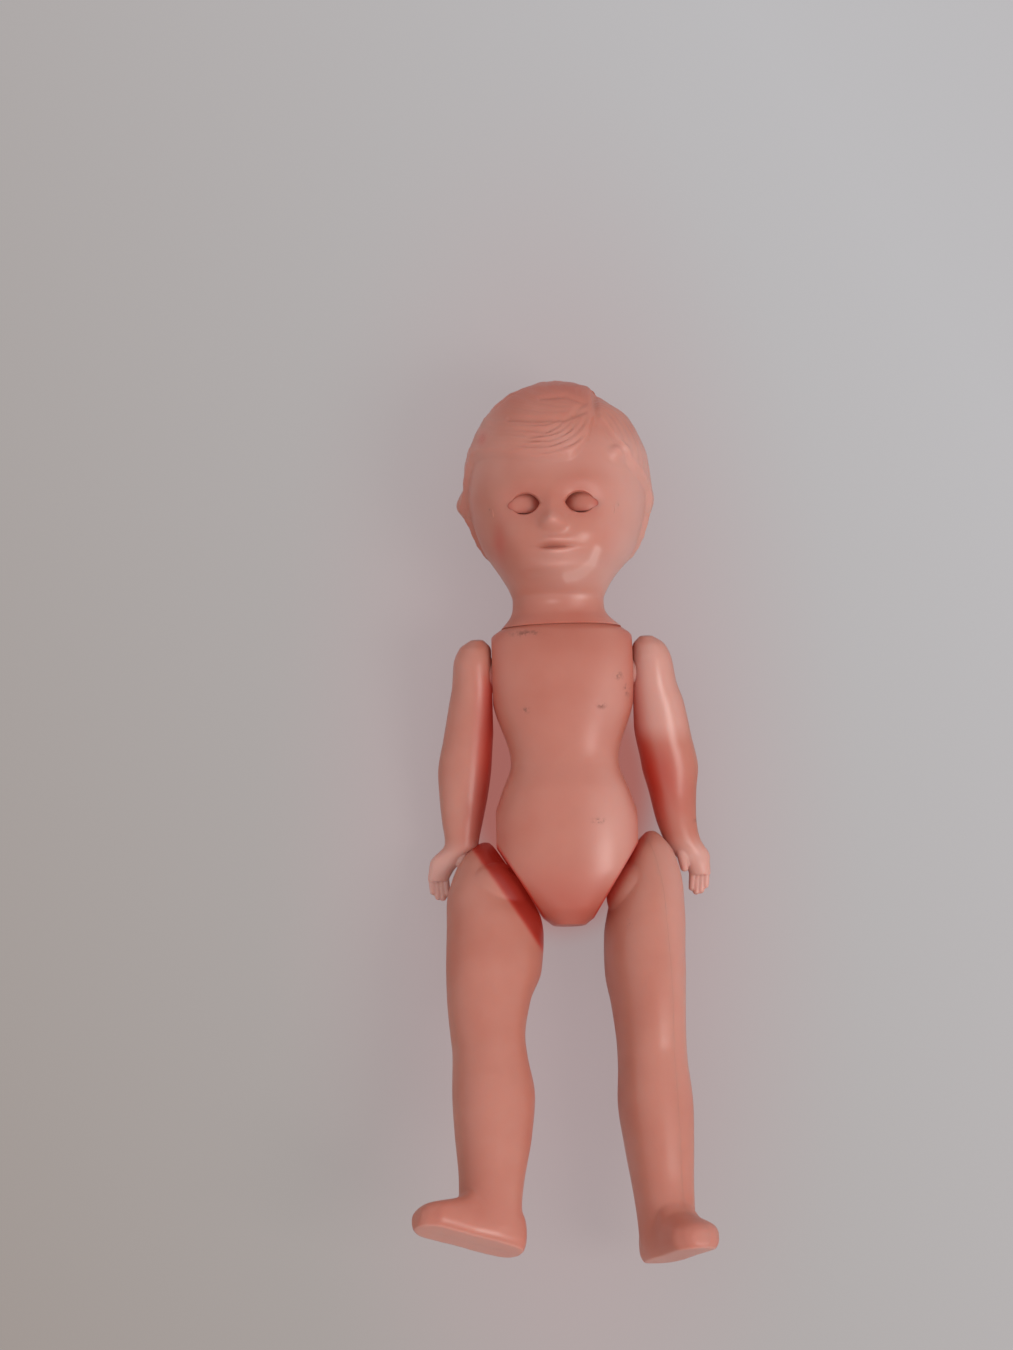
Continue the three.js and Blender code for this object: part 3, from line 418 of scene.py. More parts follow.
@dataclass(frozen=True)
class PaleBoard(Finish):
    """A matt grey-white board.

    Painted on the board are a painted shade, a little warmer and darker away from the light, a pink painted
    bounce of light near the doll, and red painted light close beside its waist, as light through the plastic.
    """

    # light and dark are the ends of a painted shade across the board
    light: str = "#bab9bb"
    dark: str = "#9f9691"
    # Painted light: a pink bounce near the doll and red light through the plastic beside its waist
    flush: str = "#b8a3a5"
    bleed: str = "#b5655a"
    roughness: float = 0.7
    fibre_mm: float = 1 / 0.9
    fibre_depth_mm: float = 0.1
    fibre_strength: float = 0.08
    lean: float = 0.55
    fall: tuple[float, float] = (-0.2, 0.16)
    flush_strength: float = 0.75
    flush_start: float = 0.016
    flush_end: float = 0.075
    flush_narrowing: float = 0.38
    bleed_strength: float = 0.85
    bleed_centre: tuple[float, float, float] = (0.0, 0.01, 0.0)
    bleed_half_width: float = 0.024
    bleed_half_length: float = 0.034
    bleed_edge: tuple[float, float] = (0.7, 1.15)
    evenness: float = 0.74

    def make(self) -> bpy.types.Material:
        """Builds the board's slow change of tone, which the camera sees with soft shadows.

        Returns:
            The material.
        """
        material, tree, shader = self.start({"Roughness": self.roughness})
        place = add_node(tree, "ShaderNodeTexCoord").outputs["Object"]
        parts = add_node(tree, "ShaderNodeSeparateXYZ", {"Vector": place}).outputs
        # Painted shade: darker and warmer away from the light
        slope = add_node(tree, "ShaderNodeMath", {
            0: parts["Y"], 1: self.lean, 2: parts["X"],
        }, operation="MULTIPLY_ADD")
        across = add_node(tree, "ShaderNodeMapRange", {
            "Value": slope.outputs[0], "From Min": self.fall[0], "From Max": self.fall[1],
        })
        tone = add_node(tree, "ShaderNodeMix", {
            "Factor": across.outputs["Result"], "A": linear(self.dark), "B": linear(self.light),
        }, data_type="RGBA")
        under = add_node(tree, "ShaderNodeVectorMath", {
            0: place, 1: self.bleed_centre,
        }, operation="SUBTRACT").outputs[0]
        round_through_light = (1 / self.bleed_half_width, 1 / self.bleed_half_length, 0.0)
        long_bounce = (1.0, self.flush_narrowing, 1.0)
        # Pools of painted light: the pink bounce and the red light through the plastic
        painted_light_pools = (
            (place, long_bounce, self.flush_start, self.flush_end, self.flush_strength, self.flush),
            (under, round_through_light, *self.bleed_edge, self.bleed_strength, self.bleed),
        )
        for source, stretch, start, end, strength, code in painted_light_pools:
            shaped = add_node(tree, "ShaderNodeVectorMath", {0: source, 1: stretch}, operation="MULTIPLY")
            away = add_node(tree, "ShaderNodeVectorMath", {0: shaped.outputs[0]}, operation="LENGTH")
            amount = add_node(tree, "ShaderNodeMapRange", {
                "Value": away.outputs["Value"], "From Min": start, "From Max": end,
                "To Min": strength, "To Max": 0.0,
            }, interpolation_type="SMOOTHSTEP")
            tone = add_node(tree, "ShaderNodeMix", {
                "Factor": amount.outputs["Result"], "A": tone.outputs[2], "B": linear(code),
            }, data_type="RGBA")
        fibres = add_node(tree, "ShaderNodeTexNoise", {
            "Vector": place, "Scale": 1 / (self.fibre_mm * MM), "Detail": 3.0,
        })
        bump = add_node(tree, "ShaderNodeBump", {
            "Height": fibres.outputs["Fac"], "Strength": self.fibre_strength,
            "Distance": self.fibre_depth_mm * MM,
        })
        feed(shader, {"Base Color": tone.outputs[2], "Normal": bump.outputs["Normal"]})
        even = add_node(tree, "ShaderNodeEmission", {"Color": tone.outputs[2]})
        rays = add_node(tree, "ShaderNodeLightPath").outputs
        direct = rays["Is Camera Ray"]
        for ray in ("Is Glossy Ray", "Is Transmission Ray"):
            direct = add_node(tree, "ShaderNodeMath", {0: direct, 1: rays[ray]}, operation="ADD").outputs[0]
        share = add_node(tree, "ShaderNodeMath", {
            0: direct, 1: self.evenness,
        }, operation="MULTIPLY", use_clamp=True)
        mixed = add_node(tree, "ShaderNodeMixShader", {
            0: share.outputs[0], 1: shader.outputs["BSDF"], 2: even.outputs["Emission"],
        })
        feed(tree.nodes["out"], {"Surface": mixed.outputs["Shader"]})
        return material


def made_once(finish: Finish) -> Any:
    """A field that holds a finish's material, made when the finishes are."""
    return field(default_factory=finish.make)


@dataclass
class Finishes:
    """Every material of the doll, by what it is made of."""

    flesh: bpy.types.Material = made_once(BlownPolythene("flesh_polythene"))
    eye: bpy.types.Material = made_once(PaintedEye("painted_eye"))
    steel: bpy.types.Material = made_once(Plain("drawn_steel", "#a9a8a4", "#8b8a86", 0.3, 0.34, 1.0))
    lead: bpy.types.Material = made_once(Plain("cast_lead", "#7d8084", "#5d6064", 0.9, 0.55, 1.0))
    fibre: bpy.types.Material = made_once(Plain("pressed_fibre", "#8a6644", "#5f432b", 0.4, 0.82))
    rubber: bpy.types.Material = made_once(Plain("natural_rubber", "#d8c7a0", "#b99f73", 0.7, 0.66))
    lash: bpy.types.Material = made_once(Plain("dark_nylon_lash", "#52261c", "#33150f", 0.3, 0.5))


def linked(name: str, data: bpy.types.ID) -> bpy.types.Object:
    """Makes an object of the data and links it to the scene.

    Args:
        name: The object's name.
        data: What it shows or holds.

    Returns:
        The object.
    """
    thing = bpy.data.objects.new(name, data)
    bpy.context.scene.collection.objects.link(thing)
    return thing


def smooth_rows(rows: Sequence[Row], places: np.ndarray) -> np.ndarray:
    """Runs a smooth curve through rows of values without swinging past a row.

    Args:
        rows: Rows whose first value puts them in order.
        places: Where the curve is wanted.

    Returns:
        One row of values for each place.
    """
    table = np.asarray(rows, float)
    gap = np.diff(table[:, 0])[:, None]
    step = np.diff(table, axis=0) / gap
    slope = np.empty_like(table)
    slope[0], slope[-1] = step[0], step[-1]
    before, after = step[:-1], step[1:]
    both = before * after
    total = np.where(both > 0, before + after, 1.0)
    slope[1:-1] = np.where(both > 0, 2 * both / total, 0.0)
    index = np.clip(np.searchsorted(table[:, 0], places, side="left") - 1, 0, len(gap) - 1)
    width = gap[index]
    t = np.clip((places - table[index, 0]) / width[:, 0], 0, 1)[:, None]
    rise = table[index + 1] - table[index]
    a, b = slope[index] * width, slope[index + 1] * width
    return table[index] + t * a + t * t * (3 * rise - 2 * a - b) + t ** 3 * (a + b - 2 * rise)


def closed_mesh(
    rings: np.ndarray, first: np.ndarray | None = None, last: np.ndarray | None = None
) -> bpy.types.Mesh:
    """Skins rings of equal count and closes both ends round a point.

    Args:
        rings: Points by ring and by place on the ring.
        first: The pole before the first ring, or its middle.
        last: The pole after the last ring, or its middle.

    Returns:
        A closed mesh whose faces point outwards.
    """
    count, sides, _ = rings.shape
    first = rings[0].mean(axis=0) if first is None else first
    last = rings[-1].mean(axis=0) if last is None else last
    points = np.vstack([rings.reshape(-1, 3), first, last])
    k = np.arange(sides)
    after = (k + 1) % sides
    faces: list[tuple[int, ...]] = []
    for i in range(count - 1):
        low, high = i * sides, (i + 1) * sides
        faces += list(zip(low + k, low + after, high + after, high + k))
    pole = count * sides
    top = (count - 1) * sides
    faces += [(pole, int(b), int(a)) for a, b in zip(k, after)]
    faces += [(pole + 1, int(top + a), int(top + b)) for a, b in zip(k, after)]
    mesh = bpy.data.meshes.new("work")
    mesh.from_pydata(points.tolist(), [], [tuple(int(v) for v in f) for f in faces])
    mesh.calc_loop_triangles()
    tri = np.empty(len(mesh.loop_triangles) * 3, np.int32)
    mesh.loop_triangles.foreach_get("vertices", tri)
    corner = points[tri.reshape(-1, 3)]
    if np.einsum("ij,ij->i", corner[:, 0], np.cross(corner[:, 1], corner[:, 2])).sum() < 0:
        mesh.flip_normals()
    return mesh


def loft(
    rows: Sequence[Row],
    sides: int,
    rings: int,
    fullness: float = 2.0,
    inset: float = 0.0,
    relief: Relief | None = None,
) -> bpy.types.Mesh:
    """Lofts rows of [height, side, forward, half width, front depth, back depth].

    Args:
        rows: The sections, from low to high.
        sides: Points round each ring.
        rings: Steps from end to end.
        fullness: Two for an oval section, more for a squarer one.
        inset: How far an inner skin lies inside the rows.
        relief: Moves the finished points, for a moulded surface.

    Returns:
        The closed skin.
    """
    even = np.linspace(0, 1, rings + 1)
    share = 0.65 * even + 0.35 * (0.5 - 0.5 * np.cos(np.pi * even))
    low, high = rows[0][0] + inset, rows[-1][0] - inset
    row = smooth_rows(rows, low + (high - low) * share)
    angle = np.linspace(0, 2 * np.pi, sides, endpoint=False)
    across = np.sign(np.cos(angle)) * np.abs(np.cos(angle)) ** (2 / fullness)
    ahead = np.sign(np.sin(angle)) * np.abs(np.sin(angle)) ** (2 / fullness)
    depth = np.where(ahead > 0, row[:, 4:5], row[:, 5:6])
    x = row[:, 1:2] + np.maximum(0.3, row[:, 3:4] - inset) * across
    z = row[:, 2:3] + np.maximum(0.3, depth - inset) * ahead
    points = np.stack([x, np.broadcast_to(row[:, 0:1], x.shape), z], axis=-1)
    if relief is not None:
        points = relief(points.reshape(-1, 3)).reshape(points.shape)
    return closed_mesh(points)


def lathe(profile: Trace, start: Vector, direction: Vector, sides: int = 32) -> bpy.types.Mesh:
    """Turns a profile of (radius, distance) about a line; its first and last points lie on the line.

    Args:
        profile: The profile, from pole to pole.
        start: Where the line starts.
        direction: The way the distances run.
        sides: Points round the line.

    Returns:
        The closed solid.
    """
    turn = np.array(Vector((0, 1, 0)).rotation_difference(direction.normalized()).to_matrix())
    angle = np.linspace(0, 2 * np.pi, sides, endpoint=False)
    rings = [[(r * math.cos(a), d, r * math.sin(a)) for a in angle] for r, d in profile[1:-1]]
    poles = np.array([(0, profile[0][1], 0), (0, profile[-1][1], 0)]) @ turn.T + np.array(start)
    placed = np.array(rings) @ turn.T + np.array(start)
    return closed_mesh(placed, poles[0], poles[1])


def rod(start: Vector, end: Vector, radius: float, sides: int = 32) -> bpy.types.Mesh:
    """A plain round bar between two points."""
    length = (end - start).length
    return lathe([(0, 0), (radius, 0), (radius, length), (0, length)], start, end - start, sides)


def ball(centre: Vector, radius: float, steps: int = 32) -> bpy.types.Mesh:
    """A sphere whose poles lie across the doll.

    Args:
        centre: Its middle.
        radius: Its radius.
        steps: Steps from pole to pole.

    Returns:
        The closed solid.
    """
    angles = np.linspace(0, math.pi, steps + 1)
    profile = [(radius * math.sin(a), -radius * math.cos(a)) for a in angles]
    profile[0], profile[-1] = (0, -radius), (0, radius)
    return lathe(profile, centre, Vector((1, 0, 0)), steps * 2)


def finger(start: Vector, end: Vector, near: float, far: float, sides: int = 20) -> bpy.types.Mesh:
    """A tapered bar with round ends, whose end centres are the two points.

    Args:
        start: The near end's centre.
        end: The far end's centre.
        near: The radius at the near end.
        far: The radius at the far end.
        sides: Points round the bar.

    Returns:
        The closed solid.
    """
    length = (end - start).length
    arc = [math.radians(a) for a in (15, 35, 55, 75, 90)]
    profile = [(0, -near)] + [(near * math.sin(a), -near * math.cos(a)) for a in arc]
    profile += [(far * math.sin(a), length + far * math.cos(a)) for a in reversed(arc)]
    return lathe(profile + [(0, length + far)], start, end - start, sides)


def beyond(normal: Vector, distance: float, centre: Vector = Vector()) -> bpy.types.Mesh:
    """A block that fills the space past a plane."""
    profile = [(0, 0), (CUT_SIZE, 0), (CUT_SIZE, CUT_SIZE), (0, CUT_SIZE)]
    return lathe(profile, centre + normal.normalized() * distance, normal, sides=4)


def evaluated(mesh: bpy.types.Mesh, changes: Changes, inputs: Links | None = None) -> bpy.types.Mesh:
    """Runs modifiers on a mesh and keeps the result.

    Args:
        mesh: The mesh, which is used up.
        changes: Modifier kinds with their settings.
        inputs: Values of a node tree's inputs, by their identifiers.

    Returns:
        The new mesh.
    """
    holder = linked("work", mesh)
    for kind, settings in changes:
        modifier = holder.modifiers.new(kind.lower(), kind)
        for key, value in settings.items():
            setattr(modifier, key, value)
        for key, value in (inputs or {}).items():
            modifier[key] = value
    graph = bpy.context.evaluated_depsgraph_get()
    result = bpy.data.meshes.new_from_object(holder.evaluated_get(graph))
    bpy.data.objects.remove(holder)
    bpy.data.meshes.remove(mesh)
    return result


def carve(mesh: bpy.types.Mesh, tool: bpy.types.Mesh, how: Cut = Cut.AWAY) -> bpy.types.Mesh:
    """Cuts or joins one closed mesh with another.

    Args:
        mesh: The base, which is used up.
        tool: The other solid, which is used up.
        how: Whether it is cut away, joined or kept in common.

    Returns:
        The new mesh.
    """
    holder = linked("tool", tool)
    result = evaluated(mesh, [("BOOLEAN", {"operation": how.value, "solver": "MANIFOLD", "object": holder})])
    bpy.data.objects.remove(holder)
    bpy.data.meshes.remove(tool)
    return result


def blended(mesh: bpy.types.Mesh, grid: float, passes: int) -> bpy.types.Mesh:
    """Melts joined forms into one moulded skin."""
    remesh = {"mode": "VOXEL", "voxel_size": grid}
    return evaluated(mesh, [("REMESH", remesh), ("SMOOTH", {"factor": 0.5, "iterations": passes})])


def swelling(x: np.ndarray, y: np.ndarray, x0: float, y0: float, width: float, height: float) -> np.ndarray:
    """A round swelling of height one about a place."""
    return np.exp(-(((x - x0) / width) ** 2) - ((y - y0) / height) ** 2)


def fade(value: np.ndarray, low: float, high: float) -> np.ndarray:
    """Rises smoothly from nought to one between two values."""
    t = np.clip((value - low) / (high - low), 0, 1)
    return t * t * (3 - 2 * t)


def patches(x: np.ndarray, y: np.ndarray, rows: Sequence[Row]) -> np.ndarray:
    """The sum of swellings given as rows of [strength, x, y, width, height]."""
    return sum(strength * swelling(x, y, *row) for strength, *row in rows)


def path_distance(x: np.ndarray, y: np.ndarray, path: Trace) -> np.ndarray:
    """How far each point lies from a path of straight steps.

    Args:
        x: The points' first coordinates.
        y: Their second ones.
        path: The path's corners.

    Returns:
        The distance to the nearest step.
    """
    nearest = np.full(x.shape, np.inf)
    for (x0, y0), (x1, y1) in zip(path, path[1:]):
        dx, dy = x1 - x0, y1 - y0
        t = np.clip(((x - x0) * dx + (y - y0) * dy) / (dx * dx + dy * dy), 0, 1)
        nearest = np.minimum(nearest, np.hypot(x - x0 - t * dx, y - y0 - t * dy))
    return nearest


@dataclass
class Dresser:
    """Where each body lies, and how a finished mesh becomes a piece that rides on it."""

    doll: Matrix
    finishes: Finishes
    count: int = 0

    def add(
        self,
        mesh: bpy.types.Mesh,
        name: str,
        body: str,
        place: Matrix,
        material: bpy.types.Material,
        node: str | None,
        slot: str,
        tint: Painter | None = None,
    ) -> bpy.types.Object:
        """Paints, places and names one piece.

        Args:
            mesh: Its mesh, in millimetres in its body's own frame.
            name: The piece's name.
            body: The body it rides on.
            place: The body's place.
            material: Its material.
            node: The CAD node it stands for, if any.
            slot: Not used.
            tint: Gives the painted attributes from the points.

        Returns:
            The piece's object.
        """
        points = np.empty(len(mesh.vertices) * 3)
        mesh.vertices.foreach_get("co", points)
        for key, values in (tint(points.reshape(-1, 3)) if tint else {}).items():
            layer = mesh.attributes.new(key, "FLOAT", "POINT")
            even = np.broadcast_to(values, len(mesh.vertices))
            layer.data.foreach_set("value", np.clip(even, 0, 1).astype(np.float32))
        matrix = Matrix.Scale(MM, 4) @ self.doll @ place
        mesh.transform(matrix)
        if matrix.determinant() < 0:
            mesh.flip_normals()
        mesh.shade_smooth()
        mesh.set_sharp_from_angle(angle=EDGE_ANGLE)
        mesh.materials.clear()
        mesh.materials.append(material)
        mesh.name = name
        piece = linked(name, mesh)
        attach(piece, body)
        if node:
            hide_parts(node)
        self.count += 1
        log.info("%s: %d faces on %s", name, len(mesh.polygons), body)
        return piece

    def add_halves(
        self,
        shell: bpy.types.Mesh,
        body: str,
        halves: tuple[str, str],
        ahead: Vector,
        place: Matrix,
        tint: Painter,
        seam: float = 0.0,
    ) -> None:
        """Splits a shell at its seam and adds both halves.

        Args:
            shell: The whole shell, which is used up.
            body: The body that both ride on, whose name starts theirs.
            halves: The words for the half ahead and the other.
            ahead: The direction across the seam.
            place: The body's place.
            tint: Gives the painted attributes from the points.
            seam: How far ahead of the origin the seam lies.
        """
        split = (beyond(-ahead, -seam - SEAM / 2), beyond(ahead, seam - SEAM / 2))
        for half, mesh, tool in zip(halves, (shell.copy(), shell), split):
            node, flesh = f"{body}_{half}", self.finishes.flesh
            self.add(carve(mesh, tool), f"{node}_moulding", body, place, flesh, node, "skin", tint)


@dataclass
class Torso:
    """The torso's shell in a front and a back half."""

    axis_height: float = 13.5
    hip_lean: float = math.radians(32)
    hip_spread: float = 17.2
    hip_centre_drop: float = 61.4
    hip_seat: float = 7.3
    dome_radius: float = 8.6
    shoulder_face: float = 16.0
    shoulder_drop: float = 10.3
    boss_radius: float = 4.0
    boss_length: float = 2.2
    neck_axis_height: float = 15.0
    fullness: float = 2.35
    melt_grid: float = 0.32
    melt_passes: int = 3
    rows: Sequence[Row] = (
        (-67.7, 0, 0, 3.6, 5.5, 7.0),
        (-63.7, 0, 0, 8.6, 9.5, 11.5),
        (-55.0, 0, 0, 16.3, 12.0, 13.2),
        (-45.5, 0, 0, 16.9, 12.8, 12.4),
        (-38.0, 0, 0, 14.8, 12.6, 10.8),
        (-30.5, 0, 0, 12.3, 10.8, 9.4),
        (-17.0, 0, 0, 16.0, 11.8, 11.2),
        (-7.2, 0, 0, 17.2, 11.3, 11.5),
        (-4.0, 0, 0, 17.0, 10.6, 10.8),
        (-1.6, 0, 0, 15.9, 9.9, 10.0),
        (0.0, 0, 0, 13.7, 9.5, 9.5),
    )
    collar: Row = (1.3, 0, 0, 12.1, 9.3, 9.3)
    # Painted highlights on the lit side of the belly and chest
    lights: Sequence[Row] = ((0.5, 11, -45, 6, 13), (0.3, 12, -18, 5, 12))
    scuffs: Sequence[Row] = (
        (1, -8.6, -19.5, 0.7, 0.7),
        (1, 8.4, -19, 0.9, 0.6),
        (1, 14.4, -15, 0.8, 1.2),
        (1, 12.6, -12, 0.8, 0.8),
        (1, -8, -1.9, 3.2, 0.7),
        (1, 7, -45, 1.4, 0.5),
    )

    def hip(self, side: Side) -> tuple[Vector, Vector]:
        """A hip's centre and the direction from it into the torso.

        Args:
            side: The doll's right or left.

        Returns:
            The centre and the direction.
        """
        s = side.value
        centre = Vector((s * self.hip_spread, -self.hip_centre_drop, self.axis_height))
        return centre, Vector((-s * math.cos(self.hip_lean), math.sin(self.hip_lean), 0))

    def shoulder(self, side: Side) -> Vector:
        """A shoulder's centre on the torso's side face."""
        return Vector((side.value * self.shoulder_face, -self.shoulder_drop, self.axis_height))

    def shell(self) -> bpy.types.Mesh:
        """Makes the hollow shell with its faces, seats and neck hole.

        Returns:
            The closed shell, in the doll's frame.
        """
        outer = loft((*self.rows, self.collar), 96, 94, self.fullness)
        inner = loft(self.rows, 48, 30, self.fullness, WALL)
        for mesh in (outer, inner):
            mesh.transform(Matrix.Translation((0, 0, self.axis_height)))
        holes = []
        for side in Side:
            centre, inward = self.hip(side)
            inner = carve(inner, beyond(-inward, -self.hip_seat - WALL, centre))
            holes.append(ball(centre, self.dome_radius + RUNNING, 40))
            out = Vector((side.value, 0, 0))
            outer = carve(outer, beyond(out, self.shoulder_face))
            inner = carve(inner, beyond(out, self.shoulder_face - WALL))
            middle, reach = self.shoulder(side), out * self.boss_length * 2
            holes.append(rod(middle - reach, middle + reach, self.boss_radius + RUNNING, 48))
        low = Vector((0, -NECK_BOSS_LENGTH * 3, self.neck_axis_height))
        high = Vector((0, NECK_BOSS_LENGTH, self.neck_axis_height))
        holes.append(rod(low, high, NECK_BOSS_RADIUS + RUNNING, BOSS_SIDES))
        outer = carve(blended(outer, self.melt_grid, self.melt_passes), beyond(Vector((0, 1, 0)), 0))
        for side in Side:
            centre, inward = self.hip(side)
            outer = carve(outer, beyond(-inward, -self.hip_seat, centre))
        shell = carve(outer, inner)
        for hole in holes:
            shell = carve(shell, hole)
        return shell

    def tint(self, p: np.ndarray) -> Tint:
        """Paints painted shade on the sides, the low end and the hip faces, painted highlights on the belly,
        and the scuffs of the torso.

        Args:
            p: Points in the body's own frame, in millimetres.

        Returns:
            The painted attributes.
        """
        x, y, z = p[:, 0], p[:, 1], p[:, 2] - self.axis_height
        # Painted shade: redder on the sides, the underside and the low end, and deep red on the hip faces
        side = fade(np.abs(x), 11, 18) * 0.25 + fade(-z, -2, 8) * 0.2
        low = 0.07 + 0.3 * fade(-y, 50, 64)
        hip_face_shade = np.zeros(len(p))
        for s in Side:
            centre, inward = self.hip(s)
            distance = (p - np.array(centre)) @ np.array(inward)
            hip_face_shade = np.maximum(hip_face_shade, 1 - fade(distance, self.hip_seat + 0.05, self.hip_seat + 0.6))
        return {
            "redness": side + low + hip_face_shade * 0.8,
            "paleness": patches(x, y, self.lights) * fade(z, 2, 9),
            "grime": patches(x, y, self.scuffs) * fade(z, 2, 6) * 0.8,
        }

    def build(self, dresser: Dresser) -> None:
        """Builds both halves and adds them."""
        up, seam = Vector((0, 0, 1)), self.axis_height
        dresser.add_halves(self.shell(), "torso", ("front", "back"), up, Matrix(), self.tint, seam)


@dataclass
class Head:
    """The moulded head with its hair, and the closing eyes in it."""

    gap: float = 0.4
    turn: float = math.radians(-4)
    neck_radius: float = 9.3
    neck_height: float = 6.0
    chin: float = 9.6
    mouth: float = 15.1
    nose: float = 20.6
    eye: float = 25.0
    height: float = 56.0
    half_width: float = 20.4
    face_depth: float = 23.6
    back_depth: float = 20.0
    fullness: float = 2.15
    sides: int = 320
    steps: int = 250
    hair_thickness: float = 1.3
    hair_edge: float = 0.9
    strand_depth: float = 0.42
    strand_count: int = 19
    strand_swirl: float = 2.1
    crown: tuple[float, float] = (7.0, 46.5)
    crown_setback: float = 8
    curl: tuple[float, float, float] = (14.5, 36.5, 2.1)
    curl_height: float = 1.3
    curl_groove: tuple[float, float] = (0.3, 0.9)
    ear_heights: tuple[float, float] = (1.9, 0.45)
    eye_spacing: float = 6.6
    opening: tuple[float, float] = (6.4, 4.5)
    opening_shares: tuple[float, float, float] = (0.87, 1.4, 1.45)
    lid_radius: float = 4.5
    lid_wall: float = 0.5
    lid_growth: float = 0.5
    lid_breadth: float = 1.14
    ball_radius: float = 3.7
    eye_sink: float = 0.7
    axle_radius: float = 0.5
    lug_offset: float = 12.9
    lug_width: float = 1.6
    lug_size: float = 4.2
    lid_low: float = math.radians(29)
    lash_low: float = math.radians(22.5)
    lid_high: float = math.radians(96)
    open_angle: float = math.radians(65)
    hairline: Sequence[Row] = (
        (-180, 13), (-120, 15), (-100, 20), (-88, 27), (-74, 32.5), (-58, 37.5), (-40, 37.2), (-28, 36.4),
        (-14, 35.3), (0, 34.6), (9, 34.8), (16, 36.6), (22, 39.6), (29, 44), (34, 43), (42, 38.6),
        (52, 34.5), (66, 32), (80, 30), (90, 25.5), (100, 20), (120, 15), (180, 13),
    )
    # A painted highlight along the jaw
    jaw_highlight: Trace = ((9.6, 14.6), (8.2, 11.8), (6.2, 10.2), (4.2, 9.3), (2.4, 9.0))
    highlight_width: float = 0.75
    blushes: Sequence[Row] = ((0.42, -12.4, 17.2, 1.7, 3.6), (0.12, 12.4, 17, 3, 3.4))
    crown_spot: Row = (0.6, -15.9, 41.5, 1.1, 1.6)
    # Painted highlights on the forehead, the lower face and two glints on the neck
    lights: Sequence[Row] = (
        (0.3, 2, 34, 9, 3),
        (0.3, 3, 39, 7, 3.5),
        (0.62, 5, 10, 10, 4),
        (0.5, 5.4, 5.6, 1.5, 0.6),
        (0.5, -1.4, 4.6, 1.4, 0.5),
    )
    fringe_centre: tuple[float, float] = (-1.0, 45.5)
    fringe_pitch: float = 1.3
    fringe_depth: float = 0.26
    grooves: Sequence[tuple[float, float, Trace]] = (
        (0.45, 0.6, ((-8.9, 44.1), (-3, 43.2), (3.3, 43.1), (7.2, 45.2))),
        (0.3, 0.5, ((-4.6, 39.0), (-2, 39.7), (-0.2, 40.4))),
        (0.4, 0.6, ((-2, 48.8), (3.3, 49.2), (7.2, 47.4), (5, 44.5))),
        (0.6, 0.45, ((-12.5, 48.5), (-10.2, 50.8), (-5.4, 53.4))),
        (0.7, 0.7, ((8.6, 54), (9.3, 50), (9.7, 46), (10, 42))),
    )

    @property
    def rows(self) -> Sequence[Row]:
        """The head's sections from the neck seat to the crown.

        Returns:
            The sections, from low to high.
        """
        n, w, f, b, h = self.neck_radius, self.half_width, self.face_depth, self.back_depth, self.height
        return (
            (0.04 - self.gap, 0, 0, n + 4.4, n + 0.2, n + 0.2),
            (1.0, -0.2, 0, n + 3.0, n - 0.2, n - 0.2),
            (2.4, -0.4, 0, n + 1.8, n - 0.5, n - 0.5),
            (4.0, -0.5, 0, n + 1.2, n - 0.3, n - 0.4),
            (self.neck_height, -0.5, 0, n + 1.1, n + 0.2, n - 0.2),
            (self.neck_height + 2.4, -0.4, 0, n + 1.9, n + 4.4, n + 1.2),
            (self.neck_height + 5.5, -0.3, 0, w - 7.4, f - 3.2, n + 3.4),
            (self.neck_height + 9, 0, 0, w - 4.8, f - 1, b - 4.8),
            (h * 0.33, 0, 0, w - 2.8, f - 0.2, b - 3),
            (h * 0.43, 0, 0, w - 1, f, b - 1.7),
            (h * 0.53, 0, 0, w, f - 0.3, b - 1.3),
            (h * 0.66, 0, 0, w - 0.5, f - 1.2, b - 1.2),
            (h * 0.77, 0, 0, w - 2.6, f - 3.4, b - 2.4),
            (h * 0.86, 0, 0, w - 5.6, f - 7, b - 4.8),
            (h * 0.93, 0, 0, w - 9.8, f - 11.6, b - 8.6),
            (h - 1.4, 0, 0, 5, 5.6, 5.4),
        )

    def hair(self, p: np.ndarray) -> np.ndarray:
        """How far the hair stands off the scalp, with strands that sweep in a swirl from the crown.

        Args:
            p: Points in the body's own frame, in millimetres.

        Returns:
            One height for each point.
        """
        angle = np.degrees(np.arctan2(p[:, 0], p[:, 2]))
        edge = smooth_rows(self.hairline, angle)[:, 1]
        cover = fade(p[:, 1], edge - self.hair_edge, edge + self.hair_edge)
        crown = np.array((self.crown[0], self.crown[1] - self.eye, self.face_depth - self.crown_setback))
        crown = crown / np.linalg.norm(crown)
        east = np.cross((0, 1, 0), crown)
        east = east / np.linalg.norm(east)
        north = np.cross(crown, east)
        line = p - np.array((0, self.eye, 0))
        line = line / np.linalg.norm(line, axis=1)[:, None]
        away = np.arccos(np.clip(line @ crown, -1, 1))
        turned = np.arctan2(line @ north, line @ east) + self.strand_swirl * away
        fine = np.sin(self.strand_count * 3 * turned + 2.2 * np.sin(5 * away))
        broad = np.sin(self.strand_count * turned) + 0.3 * fine
        soft = np.minimum(1, away * 2.5) * (0.2 + 0.5 * (1 - fade(p[:, 2], -14, -2)))
        swirl = self.strand_depth * soft * (0.75 + 0.25 * np.sin(7 * turned + 3 * away)) * broad
        return cover * (self.hair_thickness + swirl + self.fringe(p) - self.carving(p))

